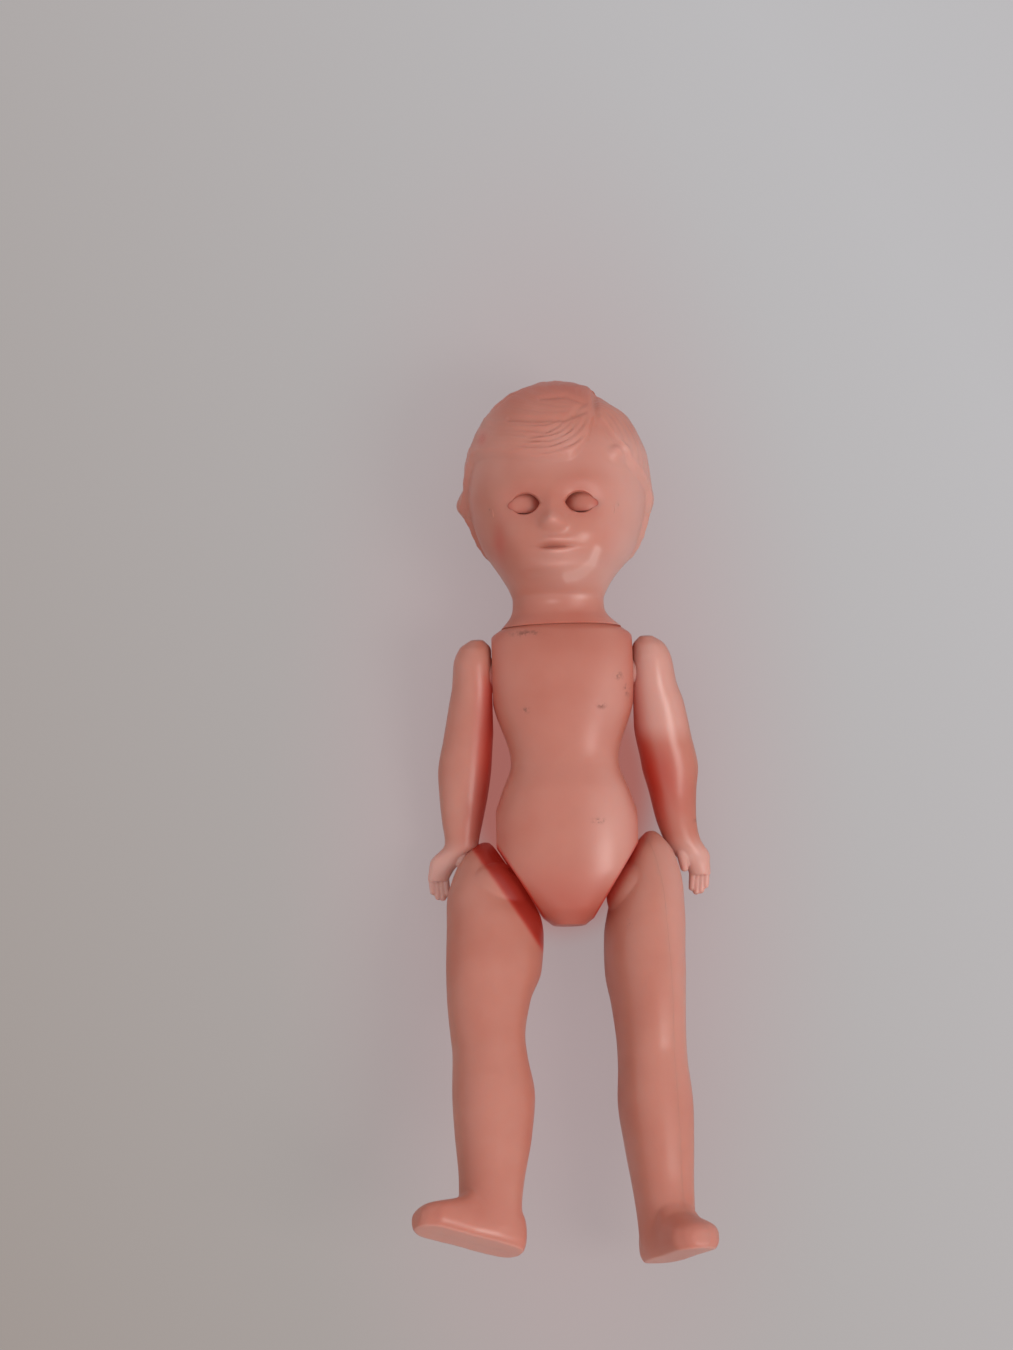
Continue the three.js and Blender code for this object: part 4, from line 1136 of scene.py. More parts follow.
    def fringe(self, p: np.ndarray) -> np.ndarray:
        """The fringe's swept strands, which bow down from the parting and run out to the right.

        Args:
            p: Points in the body's own frame, in millimetres.

        Returns:
            One height for each point.
        """
        x, y = p[:, 0] - self.fringe_centre[0], p[:, 1] - self.fringe_centre[1]
        reach = np.hypot(np.maximum(0, x), y) - 0.12 * np.minimum(0, x)
        phase = 2 * np.pi * reach / self.fringe_pitch + 1.1 * np.sin(0.45 * x) + 0.7 * np.sin(0.9 * reach)
        ridge = np.sin(phase) + 0.25 * np.sin(2 * phase + 1)
        where = (p[:, 2] > 0) * fade(x, -8.5, -2) * (1 - fade(x, 9.4, 11)) * (1 - fade(y, -5.5, -1))
        uneven = 0.7 + 0.3 * np.sin(0.9 * x + 2.1 * reach)
        return self.fringe_depth * where * uneven * ridge

    def carving(self, p: np.ndarray) -> np.ndarray:
        """The grooves that part the hair, and its lower mass past the parting.

        Args:
            p: Points in the body's own frame, in millimetres.

        Returns:
            One depth for each point.
        """
        x, y = p[:, 0], p[:, 1]
        depth = 1.2 * fade(x, 8.4, 10) * fade(y, 46, 51) * (1 - fade(x, 14, 20))
        for deep, wide, path in self.grooves:
            depth = depth + deep * np.exp(-((path_distance(x, y, path) / wide) ** 2)) * (p[:, 2] > 0)
        return depth

    def face_rise(self, x: np.ndarray, y: np.ndarray) -> np.ndarray:
        """The face's features, as a rise of the front of the head.

        Args:
            x: Places across the face.
            y: Heights over the neck's seat.

        Returns:
            One rise for each point.
        """
        nose, mouth, eye, apart = self.nose, self.mouth, self.eye, self.eye_spacing
        features = (
            (2.8, 0, nose, 2.3, 2.0),
            (0.8, 0, nose + 3.2, 2, 2.8),
            (0.45, 1.9, nose - 0.8, 1.1, 1),
            (-1.4, apart, eye, 4.6, 3.4),
            (0.4, apart, eye + 4.8, 5, 2),
            (0.8, 9.5, mouth + 1.0, 4.8, 4.8),
            (1.25, 0, mouth + 1.3, 2.7, 0.9),
            (-1.0, 0, mouth, 3.5, 0.38),
            (1.2, 0, mouth - 1.3, 2.4, 0.9),
            (-0.5, 0, mouth - 3.1, 3.4, 0.9),
            (1.5, 0, self.chin + 0.8, 4, 2.6),
        )
        return patches(np.abs(x), y, features)

    def relief(self, p: np.ndarray) -> np.ndarray:
        """Moves the plain head's points to the moulded face, ears and hair.

        Args:
            p: Points in the body's own frame, in millimetres.

        Returns:
            The moved points.
        """
        x, y, z = p[:, 0], p[:, 1], p[:, 2]
        lifted = p.copy()
        lifted[:, 2] += np.where(z > 0, self.face_rise(x, y) * fade(z, 4, 14), 0)
        outward = np.stack([x, np.maximum(0, y - self.eye), z], axis=1)
        outward /= np.linalg.norm(outward, axis=1)[:, None]
        ear = np.where(x < 0, *self.ear_heights) * swelling(y, z, self.eye + 3.4, -1.5, 2.6, 2.8)
        a, b, r = self.curl
        ring = np.hypot(x - a, y - b)
        depth, width = self.curl_groove
        curl = self.curl_height * np.exp(-((ring / r) ** 2)) - depth * np.exp(-(((ring - r) / width) ** 2))
        return lifted + outward * (self.hair(p) + ear + np.where(z > 0, curl, 0))[:, None]

    def eye_centre(self, side: Side) -> Vector:
        """The middle of an eye's ball, behind the socket's surface.

        Args:
            side: The doll's right or left.

        Returns:
            The point, in the head's frame.
        """
        row = smooth_rows(self.rows, np.array([self.eye]))[0]
        bare = row[4] * (1 - (self.eye_spacing / row[3]) ** self.fullness) ** (1 / self.fullness)
        rise = float(self.face_rise(np.array([self.eye_spacing]), np.array([self.eye]))[0])
        depth = self.eye_sink + self.lid_radius
        return Vector((side.value * self.eye_spacing, self.eye, bare + rise - depth))

    def almond(self, side: Side) -> bpy.types.Mesh:
        """The tool that opens the face in front of one eye.

        Args:
            side: The doll's right or left.

        Returns:
            The closed tool.
        """
        half, rise = self.opening[0] / 2, self.opening[1]
        t = np.linspace(0, 1, 24)
        x = half * (-((1 - t) ** 3) - 2.1 * t * (1 - t) ** 2 + 2.1 * t * t * (1 - t) + t ** 3)
        y = rise * 0.66 * 3 * t * (1 - t)
        loop = np.concatenate([np.stack([x, y], 1), np.stack([x[::-1], -y[::-1]], 1)[1:-1]])
        centre = self.eye_centre(side)
        tight, near, far = self.opening_shares
        stations = (
            (0, tight), (self.lid_radius - 0.6, tight), (self.lid_radius + 3.2, near), (self.face_depth, far),
        )
        rings = [[(centre.x + a * k, centre.y + b * k, centre.z + z) for a, b in loop] for z, k in stations]
        return closed_mesh(np.array(rings))

    def shell(self) -> bpy.types.Mesh:
        """Makes the hollow head with its neck boss, eye seats and lugs.

        Returns:
            The closed shell, in the head's frame.
        """
        outer = loft(self.rows, self.sides, self.steps, self.fullness, 0, self.relief)
        shell = carve(outer, loft(self.rows, 48, 32, self.fullness, WALL))
        end = Vector((0, -NECK_BOSS_LENGTH, 0))
        shell = carve(shell, rod(end, Vector((0, WALL * 0.5, 0)), NECK_BOSS_RADIUS, BOSS_SIDES), Cut.JOIN)
        shell = carve(shell, rod(end * 2, Vector((0, WALL * 2, 0)), PIN_RADIUS + RUNNING, PIN_SIDES))
        for side in Side:
            centre = self.eye_centre(side)
            s = side.value
            reach = math.sqrt(1 - (self.lug_offset / self.half_width) ** 2) * self.face_depth - WALL / 2
            low = Vector((s * self.lug_offset, self.eye, centre.z - self.lug_size / 2))
            drop = reach - low.z
            lug = lathe([(0, 0), (1, 0), (1, drop), (0, drop)], Vector(), Vector((0, 0, 1)), sides=4)
            lug.transform(Matrix.Rotation(math.radians(45), 4, "Z"))
            scale = (self.lug_width / math.sqrt(2), self.lug_size / math.sqrt(2), 1, 1)
            lug.transform(Matrix.Translation(low) @ Matrix.Diagonal(scale))
            shell = carve(shell, self.broad_ball(centre, self.lid_radius + self.lid_growth + SNUG))
            shell = carve(shell, lug, Cut.JOIN)
            near = Vector((s * (self.lug_offset - self.lug_width), self.eye, centre.z))
            far = Vector((s * (self.lug_offset + self.lug_width), self.eye, centre.z))
            shell = carve(shell, rod(near, far, self.axle_radius + CLEAR, BORE_SIDES))
            shell = carve(shell, self.almond(side))
        return shell

    def tint(self, p: np.ndarray) -> Tint:
        """Paints the blush, painted shade on the edges and round the eye rims, a darker red spot on the hair,
        and painted highlights on the face, jaw, lips, nose and neck.

        Args:
            p: Points in the body's own frame, in millimetres.

        Returns:
            The painted attributes.
        """
        x, y, z = p[:, 0], p[:, 1], p[:, 2]
        front = fade(z, 4, 10)
        # Painted shade on the head's right side, low on the neck and on the crown
        side = 0.1 * fade(-x, 14, 21) + 0.12 * fade(-y, -9, 1) + 0.25 * fade(y, 45, 56)
        # Painted shade round the eye openings
        rims = patches(np.abs(x), y, ((0.3, self.eye_spacing, self.eye, 4.4, 3.2),))
        spot = patches(x, y, (self.crown_spot,))
        lips = ((0.3, 0, self.mouth + 1.7, 2.6, 0.8), (0.3, 0, self.mouth - 1.6, 2.4, 0.8))
        # Painted highlights on the face, nose and lips, along the jaw, on the face's left side and the hair's
        # right side
        lit = patches(x, y, (*self.lights, (0.3, 0, self.nose, 1.8, 1.8), *lips))
        arc = np.exp(-((path_distance(x, y, self.jaw_highlight) / self.highlight_width) ** 2))
        left = 0.68 * fade(x, 6, 19) * (1 - 0.9 * fade(y, 37, 46))
        left = left + 0.25 * fade(x, 9, 16) * (1 - fade(y, 14, 22))
        right = 0.32 * fade(-x, 8, 15) * fade(y, 26, 38)
        return {
            "redness": (patches(x, y, self.blushes) + rims + spot) * front + side,
            "paleness": lit + arc + left + right,
            "grime": 0.4 * spot,
        }

    def broad_ball(self, centre: Vector, radius: float) -> bpy.types.Mesh:
        """A ball stretched along the eyes' axle, as the lid and its socket are.

        Args:
            centre: Its middle.
            radius: Its radius across the axle.

        Returns:
            The closed solid.
        """
        grown = ball(Vector(), radius, BALL_STEPS)
        grown.transform(Matrix.Translation(centre) @ Matrix.Diagonal((self.lid_breadth, 1, 1, 1)))
        return grown

    def lid(self, side: Side) -> bpy.types.Mesh:
        """One eyelid, a thin cap over the ball.

        Args:
            side: The doll's right or left.

        Returns:
            The closed cap.
        """
        centre = self.eye_centre(side)
        below = Vector((0, -math.cos(self.lid_low), -math.sin(self.lid_low)))
        above = Vector((0, math.cos(self.lid_high), -math.sin(self.lid_high)))
        outer = self.broad_ball(centre, self.lid_radius + self.lid_growth)
        lid = carve(outer, ball(centre, self.lid_radius - self.lid_wall, BALL_STEPS))
        lid = carve(carve(lid, beyond(below, 0, centre)), beyond(above, 0, centre))
        reach = Vector((self.lug_offset, 0, 0))
        return carve(lid, rod(centre - reach, centre + reach, self.axle_radius + CLEAR, BORE_SIDES))

    def lid_tint(self, p: np.ndarray) -> Tint:
        """Paints the lids a little red, with painted shade redder towards their edges where the opening
        shades them.

        Args:
            p: Points in the body's own frame, in millimetres.

        Returns:
            The painted attributes.
        """
        centre = self.eye_centre(Side.LEFT)
        reach = np.abs(np.abs(p[:, 0]) - self.eye_spacing)
        return {"redness": 0.15 + 0.35 * fade(reach, 1.6, 3.4) + 0.3 * fade(centre.y - p[:, 1], 0.6, 2.2)}

    def eyeball(self, side: Side) -> bpy.types.Mesh:
        """One ball, drilled for the axle.

        Args:
            side: The doll's right or left.

        Returns:
            The drilled ball.
        """
        centre = self.eye_centre(side)
        reach = Vector((self.lug_offset, 0, 0))
        bore = rod(centre - reach, centre + reach, self.axle_radius + CLEAR, BORE_SIDES)
        return carve(ball(centre, self.ball_radius, 40), bore)

    def gaze_tint(self, side: Side) -> Painter:
        """Gives the ball's angle from its gaze, which points down while the eye is shut.

        Args:
            side: The doll's right or left.

        Returns:
            The painter.
        """
        centre = np.array(self.eye_centre(side))
        gaze = np.array((0, -math.sin(self.open_angle), math.cos(self.open_angle)))

        def ring(p: np.ndarray) -> Tint:
            """One for the back of the ball, nought at the pupil's middle.

            Args:
                p: Points in the body's own frame, in millimetres.

            Returns:
                The ball's angle attribute.
            """
            line = p - centre
            line = line / np.linalg.norm(line, axis=1)[:, None]
            return {"ring": np.arccos(np.clip(line @ gaze, -1, 1)) / (math.pi / 2)}

        return ring

    def lash_path(self, side: Side) -> np.ndarray:
        """The line along the lid's lower edge that the lashes stand on.

        Args:
            side: The doll's right or left.

        Returns:
            Points along the line.
        """
        centre = np.array(self.eye_centre(side))
        ahead = np.array((0, -math.sin(self.lash_low), math.cos(self.lash_low)))
        across = np.array((self.lid_breadth, 0, 0))
        radius = self.lid_radius + self.lid_growth
        angles = np.radians(np.linspace(46, 134, 40))
        return np.array([centre + radius * (across * math.cos(a) + ahead * math.sin(a)) for a in angles])

    def build(self, dresser: Dresser, torso: Torso) -> None:
        """Builds the head's halves, lids, balls and lashes, and adds them.

        Args:
            dresser: Takes the finished pieces.
            torso: The torso's sizes.
        """
        place = Matrix.Translation((0, self.gap, torso.neck_axis_height))
        place = place @ Matrix.Rotation(self.turn, 4, "Y")
        dresser.add_halves(self.shell(), "head", ("face", "back"), Vector((0, 0, 1)), place, self.tint)
        finishes = dresser.finishes
        for side in Side:
            lashes = LashRow().make(self.lash_path(side), finishes.lash)
            for mesh, name, material, node, slot, tint in (
                (self.lid(side), "lid", finishes.flesh, "eyelid", "skin", self.lid_tint),
                (self.eyeball(side), "ball", finishes.eye, "eye", "eye", self.gaze_tint(side)),
                (lashes, "lashes", finishes.lash, None, "eye", None),
            ):
                stands_for = f"{node}_{side.word}" if node else None
                dresser.add(mesh, f"{name}_{side.word}", "eyes", place, material, stands_for, slot, tint)


@dataclass(frozen=True)
class LashRow:
    """A row of short stiff lashes set along a lid's edge, made by geometry nodes."""

    count: int = 90
    length: float = 0.36
    radius: float = 0.05
    tip_share: float = 0.15
    least_turn: tuple[float, float, float] = (0.9, -0.3, -0.2)
    most_turn: tuple[float, float, float] = (1.4, 0.3, 0.2)

    def make(self, path: np.ndarray, material: bpy.types.Material) -> bpy.types.Mesh:
        """Stands tapered lashes along a path.

        Args:
            path: Points along the lid's edge.
            material: The lashes' material.

        Returns:
            The realised lashes as one mesh.
        """
        tree = bpy.data.node_groups.new("lash_row", "GeometryNodeTree")
        tree.interface.new_socket("Geometry", in_out="INPUT", socket_type="NodeSocketGeometry")
        tree.interface.new_socket("Geometry", in_out="OUTPUT", socket_type="NodeSocketGeometry")
        sizes = {"Count": self.count, "Length": self.length, "Radius": self.radius}
        inputs = {}
        for name, value in sizes.items():
            kind = "NodeSocketInt" if isinstance(value, int) else "NodeSocketFloat"
            socket = tree.interface.new_socket(name, in_out="INPUT", socket_type=kind)
            inputs[socket.identifier] = value
        source = add_node(tree, "NodeGroupInput").outputs
        line = add_node(tree, "GeometryNodeMeshToCurve", {"Mesh": source["Geometry"]})
        spaced = add_node(tree, "GeometryNodeResampleCurve", {
            "Curve": line.outputs[0], "Count": source["Count"],
        })
        lash = add_node(tree, "GeometryNodeMeshCone", {
            "Vertices": 7, "Radius Top": self.radius * self.tip_share,
            "Radius Bottom": source["Radius"], "Depth": source["Length"],
        })
        wobble = add_node(tree, "FunctionNodeRandomValue", {
            "Min": self.least_turn, "Max": self.most_turn, "Seed": 7,
        }, data_type="FLOAT_VECTOR")
        stood = add_node(tree, "GeometryNodeInstanceOnPoints", {
            "Points": spaced.outputs[0],
            "Instance": lash.outputs["Mesh"],
            "Rotation": wobble.outputs["Value"],
        })
        solid = add_node(tree, "GeometryNodeRealizeInstances", {"Geometry": stood.outputs[0]})
        dressed = add_node(tree, "GeometryNodeSetMaterial", {
            "Geometry": solid.outputs[0], "Material": material,
        })
        add_node(tree, "NodeGroupOutput", {"Geometry": dressed.outputs[0]})
        mesh = bpy.data.meshes.new("path")
        mesh.from_pydata(path.tolist(), [(i, i + 1) for i in range(len(path) - 1)], [])
        return evaluated(mesh, [("NODES", {"node_group": tree})], inputs)


@dataclass
class Arm:
    """One arm: a hollow limb with a moulded hand, in a front and a back half."""

    side: Side
    swing: float
    elbow_drop: float = 21.4
    wrist_drop: float = 38.2
    wrist_reach: float = 9.5
    wrist_radius: float = 3.8
    wrist_forward: float = 3.4
    palm_length: float = 8.0
    palm_half_width: float = 3.4
    palm_depth: float = 2.2
    palm_offset: float = 3.8
    finger_length: float = 5.0
    finger_radius: float = 1.0
    thumb_radius: float = 1.3
    thumb_length: float = 4.4
    reach: float = 4.3
    elbow_reach: float = 7.6
    half_width: float = 5.0
    depth: float = 6.0
    elbow_half_width: float = 6.0
    elbow_depth: float = 5.9
    sides: int = 64
    steps: int = 90
    melt_grid: float = 0.2
    melt_passes: int = 5
    finger_spacing: float = 0.95
    finger_shares: tuple[float, ...] = (0.82, 1, 0.95, 0.72)
    finger_fan: float = 0.02
    own_shape: Sequence[Row] = ((-50, 0, 0), (10, 0, 0))

    @property
    def rows(self) -> Sequence[Row]:
        """The arm's own sections: the common ones, moved outwards and widened by this arm's own shape.

        Returns:
            The sections, from low to high.
        """
        heights = np.array([row[0] for row in self.common_rows], float)
        own = smooth_rows(self.own_shape, heights)
        return [(r[0], r[1] + o[1], r[2], r[3] + o[2], *r[4:]) for r, o in zip(self.common_rows, own)]

    @property
    def common_rows(self) -> Sequence[Row]:
        """The sections of both arms from the palm's end to the shoulder's top.

        Returns:
            The sections, from low to high.
        """
        w, f, r = self.wrist_drop, self.wrist_forward, self.wrist_radius
        end, out = -w - self.palm_length, self.wrist_reach + self.palm_offset
        pw, pd, u, d = self.palm_half_width, self.palm_depth, self.reach, self.depth
        ew, ed = self.elbow_half_width, self.elbow_depth
        return (
            (end, out, f + 1.4, pw - 1.2, pd - 0.5, pd - 0.5),
            (end + 2.6, out - 1.0, f + 1.1, pw - 0.6, pd, pd),
            (-w - 3.2, self.wrist_reach + 1.6, f + 0.5, pw + 0.4, pd + 0.4, pd + 0.4),
            (-w, self.wrist_reach, f, r, r - 0.2, r - 0.2),
            (-w + 5, self.wrist_reach - 0.5, f - 1.5, r + 0.8, r + 0.9, r + 0.9),
            (-self.elbow_drop - 6, self.elbow_reach + 0.8, 0, ew - 0.7, ed - 0.5, ed - 0.5),
            (-self.elbow_drop, self.elbow_reach, -0.8, ew, ed, ed),
            (-self.elbow_drop + 7, u + 1.8, -0.6, self.half_width + 0.7, d, d),
            (-7, u + 0.6, -0.2, self.half_width + 0.4, d, d),
            (-2, u, 0, self.half_width, d, d),
            (3, u - 0.1, 0, self.half_width - 0.4, d - 0.4, d - 0.4),
            (6.4, u - 0.5, 0, self.half_width - 1.5, d - 2, d - 2),
            (8.2, u - 1, 0, 1.4, 1.6, 1.6),
        )

    def digits(self) -> list[bpy.types.Mesh]:
        """Four fingers side by side and a thumb.

        Returns:
            Five closed solids.
        """
        palm_end = self.rows[0]
        knuckles = Vector((palm_end[1] - 0.1, palm_end[0] + self.finger_radius, self.wrist_forward + 1.3))
        spacing = self.finger_spacing
        along = Vector((-0.08, -0.97, 0.16)).normalized()
        digits = []
        for i, share in enumerate(self.finger_shares):
            start = knuckles + Vector(((i - 1.5) * spacing, 0, 0))
            fan = along + Vector(((i - 1.5) * self.finger_fan, 0, 0))
            end = start + fan * self.finger_length * share
            digits.append(finger(start, end, self.finger_radius, self.finger_radius * 0.8))
        root = Vector((self.rows[3][1] - 0.4, -self.wrist_drop - 2.2, self.wrist_forward + 1.6))
        tip = root + Vector((0.16, -0.9, 0.42)).normalized() * self.thumb_length
        return digits + [finger(root, tip, self.thumb_radius, self.thumb_radius * 0.75)]

    def shell(self, torso: Torso) -> bpy.types.Mesh:
        """Makes the hollow arm with its shoulder boss.

        Args:
            torso: The torso's sizes.

        Returns:
            The closed shell, in the arm's frame.
        """
        skin = loft(self.rows, self.sides, self.steps)
        for digit in self.digits():
            skin = carve(skin, digit, Cut.JOIN)
        skin = blended(skin, self.melt_grid, self.melt_passes)
        face = Vector((-1, 0, 0))
        skin = carve(skin, beyond(face, -SNUG))
        inner = carve(loft(self.rows[3:], 24, 20, 2.0, LIMB_WALL), beyond(face, -RUNNING - LIMB_WALL))
        end = Vector((-torso.boss_length, 0, 0))
        boss = rod(end, Vector((RUNNING + LIMB_WALL / 2, 0, 0)), torso.boss_radius, 48)
        shell = carve(carve(skin, inner), boss, Cut.JOIN)
        far = Vector((RUNNING + LIMB_WALL * 1.5, 0, 0))
        return carve(shell, rod(end * 2, far, PIN_RADIUS + RUNNING, PIN_SIDES))

    def tint(self, p: np.ndarray) -> Tint:
        """Paints red painted shade along the arm's inner side and below the left elbow, darker painted shade
        high on the right arm's inner side, painted highlights on its upper side and hand, and a small dark
        mark on the left forearm.

        Args:
            p: Points in the body's own frame, in millimetres.

        Returns:
            The painted attributes.
        """
        x, y, z = p[:, 0], p[:, 1], p[:, 2]
        row = smooth_rows(self.rows, y)
        inside = x - (row[:, 1] - row[:, 3])
        left = self.side is Side.LEFT
        # Painted shade in red along the inner side and below the elbow, and a painted highlight on the upper
        # arm's front
        if left:
            inner, lower = (1 - fade(inside, 1.2, 4.4)) * 0.6, 0.66 * swelling(y, inside, -23, 4.5, 9, 4.5)
            depth, lit = 0.0, 0.58 * fade(z, -1, 5) * (1 - fade(-y, 11, 17))
        else:
            # Red painted shade along the inner side, and darker painted shade high on it
            inner, lower = (1 - fade(inside, 0.8, 6.2)) * (1 - 0.35 * fade(-y, 18, 34)), 0.0
            depth = 0.5 * (1 - fade(inside, 0.6, 3.6)) * swelling(y, y, -9, -9, 9, 9)
            lit = 0.1 * fade(z, 0, 5)
        return {
            # Painted highlights on the hand and front
            "redness": inner * fade(y, -44, -30) * fade(-y, -5, 4) + lower,
            "paleness": 0.75 * fade(-y, 36, 42) + lit,
            "depth": depth,
            "grime": 0.5 * swelling(y, z, -34, 3, 0.5, 2) * left,
        }

    def build(self, dresser: Dresser, torso: Torso) -> None:
        """Builds both halves and adds them.

        Args:
            dresser: Takes the finished pieces.
            torso: The torso's sizes.
        """
        ahead = Vector((0, self.wrist_forward, self.wrist_drop)).normalized()
        place = Matrix.Translation(torso.shoulder(self.side)) @ Matrix.Rotation(self.swing, 4, "X")
        place = place @ Matrix.Diagonal((self.side.value, 1, 1, 1))
        body = f"arm_{self.side.word}"
        dresser.add_halves(self.shell(torso), body, ("front", "back"), ahead, place, self.tint)


@dataclass
class Leg:
    """One leg: a hollow limb with a plain foot, in an outer and an inner half."""

    side: Side
    swing: float
    twist: float
    spread: float
    turn_out: float = math.radians(24)
    length: float = 81.6
    thigh: tuple[float, float, float] = (8.0, 8.1, 11.6)
    knee: tuple[float, float, float] = (33.5, 7.4, 8.0)
    calf: tuple[float, float, float] = (47.0, 7.9, 9.2)
    ankle: tuple[float, float, float] = (67.0, 6.4, 7.0)
    foot_length: float = 25.5
    foot_half_width: float = 5.6
    foot_heel: float = 7.4
    toe_height: float = 5.4
    instep_height: float = 12.5
    foot_core: float = 3.0
    fullness: float = 2.3
    mouth_radius: float = 1.5
    turn_out_limit: float = math.radians(33)
    turn_in_limit: float = math.radians(12)
    faces_cut: int = 5
    sides: int = 96
    steps: int = 140
    melt_grid: float = 0.3
    dome_passes: int = 7
    foot_passes: int = 10
    sole_tilt: float = math.radians(5)
    bow: Sequence[Row] = ((-90, 0), (16, 0))

    @property
    def rows(self) -> Sequence[Row]:
        """The leg's sections from the ankle to the hip.

        Returns:
            The sections, from low to high.
        """
        (td, tw, tf), (kd, kw, kf), (cd, cw, cf), (ad, aw, af) = self.thigh, self.knee, self.calf, self.ankle
        rows = (
            (-self.length + 3, 0, 0, aw - 0.6, af - 0.3, af - 0.2),
            (-ad - 5, 0, 0, aw - 0.3, af, af - 0.5),
            (-ad, 0, 0, aw, af, af),
            (-cd - 9, 0, 0, cw - 0.6, cf - 1.2, cf - 0.3),
            (-cd, 0, 0, cw, cf - 0.6, cf + 0.4),
            (-kd - 4, 0, 0, kw, kf + 0.8, kf - 0.4),
            (-kd, 0, 0, kw, kf + 1.4, kf - 1),
            (-kd + 9, -0.4, 0, tw - 0.3, tf - 1, tf - 3.4),
            (-td - 9, -0.8, 0, tw + 0.2, tf - 0.6, tf - 0.7),
            (-td, -0.6, 0, tw + 0.3, tf - 0.8, tf),
            (-2, 0.2, 0, tw - 0.3, tf - 1, tf - 0.6),
            (4, 1.2, 0, tw - 1.2, tf - 2.6, tf - 2.4),
            (9.6, 1.8, 0, tw - 2.8, tf - 5, tf - 5),
            (13.4, 2.4, 0, tw - 5.6, tf - 8, tf - 8),
            (15, 2.7, 0, 1.0, 1.5, 1.5),
        )
        bow = smooth_rows(self.bow, np.array([row[0] for row in rows], float))[:, 1]
        return [(r[0], r[1] + b, *r[2:]) for r, b in zip(rows, bow)]

    @property
    def foot_rows(self) -> Sequence[Row]:
        """The foot's sections from heel to toe.

        Returns:
            The sections, from low to high.
        """
        h, w, toe, top = self.foot_heel, self.foot_half_width, self.toe_height, self.instep_height
        tip = self.foot_length - h
        return (
            (-h, 0, 0, 2.6, 2.4, 3),
            (-h + 1.4, 0, 0, w - 1.2, 6, 4),
            (-h + 5, 0, 0, w - 0.2, top - 3.2, 4),
            (1, 0, 0, w, top - 3, 4),
            (6, 0, 0, w - 0.3, top - 3.4, 4),
            (tip - 9, 0, 0, w - 0.1, toe + 0.6, 4),
            (tip - 4, 0, 0, w, toe - 1.7, 4),
            (tip - 1.2, 0, 0, w - 1.6, toe - 3.0, 3.6),
            (tip, 0, 0, 2.4, 0.9, 2.4),
        )

    @property
    def sole_place(self) -> float:
        """How far the sole's plane lies from the hip's centre."""
        return (self.length - self.foot_core) * math.cos(self.sole_tilt) + self.foot_core

    def skin(self, inset: float, sides: int, rings: int, melt: bool) -> bpy.types.Mesh:
        """The leg and foot joined and cut flat at the sole.

        Args:
            inset: How far an inner skin lies inside the outer one.
            sides: Points round the leg.
            rings: Steps along it.
            melt: Whether the join is blended.

        Returns:
            The closed skin, turned out as the foot is.
        """
        foot = loft(self.foot_rows, sides, round(rings * 0.6), 2.5, inset)
        level = Matrix.Diagonal((1, -1, 1, 1)) @ Matrix.Rotation(math.pi / 2, 4, "X")
        foot.transform(Matrix.Rotation(-self.sole_tilt, 4, "X") @ level)
        foot.flip_normals()
        foot.transform(Matrix.Translation((self.bow[0][1], -self.length + self.foot_core, 0)))
        whole = carve(loft(self.rows, sides, rings, self.fullness, inset), foot, Cut.JOIN)
        if melt:
            whole = blended(whole, self.melt_grid, self.foot_passes)
        down = Vector((0, -math.cos(self.sole_tilt), math.sin(self.sole_tilt)))
        whole = carve(whole, beyond(down, self.sole_place - inset))
        whole.transform(Matrix.Rotation(self.turn_out, 4, "Y"))
        return whole

    def faces(self, torso: Torso) -> list[Vector]:
        """The directions that the torso's hip face takes, seen from the leg, as it twists.

        Args:
            torso: The torso's sizes.

        Returns:
            One direction for each cut.
        """
        across, down = math.cos(torso.hip_lean), math.sin(torso.hip_lean)
        turns = np.linspace(-self.turn_out_limit, self.turn_in_limit, self.faces_cut)
        return [Vector((-across * math.cos(t), down, across * math.sin(t))) for t in turns]

    def shell(self, torso: Torso) -> bpy.types.Mesh:
        """Makes the hollow leg with its round hip seat.

        Args:
            torso: The torso's sizes.

        Returns:
            The closed shell, in the leg's frame.
        """
        cut = torso.hip_seat - SNUG
        outer = self.skin(0, self.sides, self.steps, True)
        inner = self.skin(LIMB_WALL, 24, 20, False)
        for face in self.faces(torso):
            outer = carve(outer, beyond(face, cut))
            inner = carve(inner, beyond(face, cut - LIMB_WALL))
        dome = ball(Vector(), torso.dome_radius, BALL_STEPS)
        outer = blended(carve(outer, dome.copy(), Cut.JOIN), self.melt_grid, self.dome_passes)
        for face in self.faces(torso):
            outer = carve(outer, beyond(face, cut))
        outer = carve(outer, dome, Cut.JOIN)
        inner = carve(inner, ball(Vector(), torso.dome_radius - LIMB_WALL, 32), Cut.JOIN)
        shell = carve(outer, inner)
        for face in self.faces(torso):
            start, end = face * torso.dome_radius * 0.5, face * torso.dome_radius * 1.5
            shell = carve(shell, rod(start, end, self.mouth_radius, BORE_SIDES))
        return shell

    def tint(self, torso: Torso) -> Painter:
        """Gives the painter of the leg's painted shade at the hip rim and underside, and its painted
        highlights on the outer edge and sole.

        Args:
            torso: The torso's sizes.

        Returns:
            The painter.
        """
        _, inward = torso.hip(Side.LEFT)
        resting = np.array(Matrix.Rotation(-self.twist, 3, "Y") @ inward)
        cut = torso.hip_seat - SNUG
        right = self.side is Side.RIGHT
        down = np.array((0, -math.cos(self.sole_tilt), math.sin(self.sole_tilt)))
        down = np.array(Matrix.Rotation(self.turn_out, 3, "Y")) @ down

        def paint(p: np.ndarray) -> Tint:
            """Painted shade in deep red by the hip's cut and redder on the underside, painted highlights on
            the outer edge and sole, and a small dark mark on the left leg.

            Args:
                p: Points in the body's own frame, in millimetres.

            Returns:
                The painted attributes.
            """
            x, y, z = p[:, 0], p[:, 1], p[:, 2]
            inside, low = cut - p @ resting, p @ down
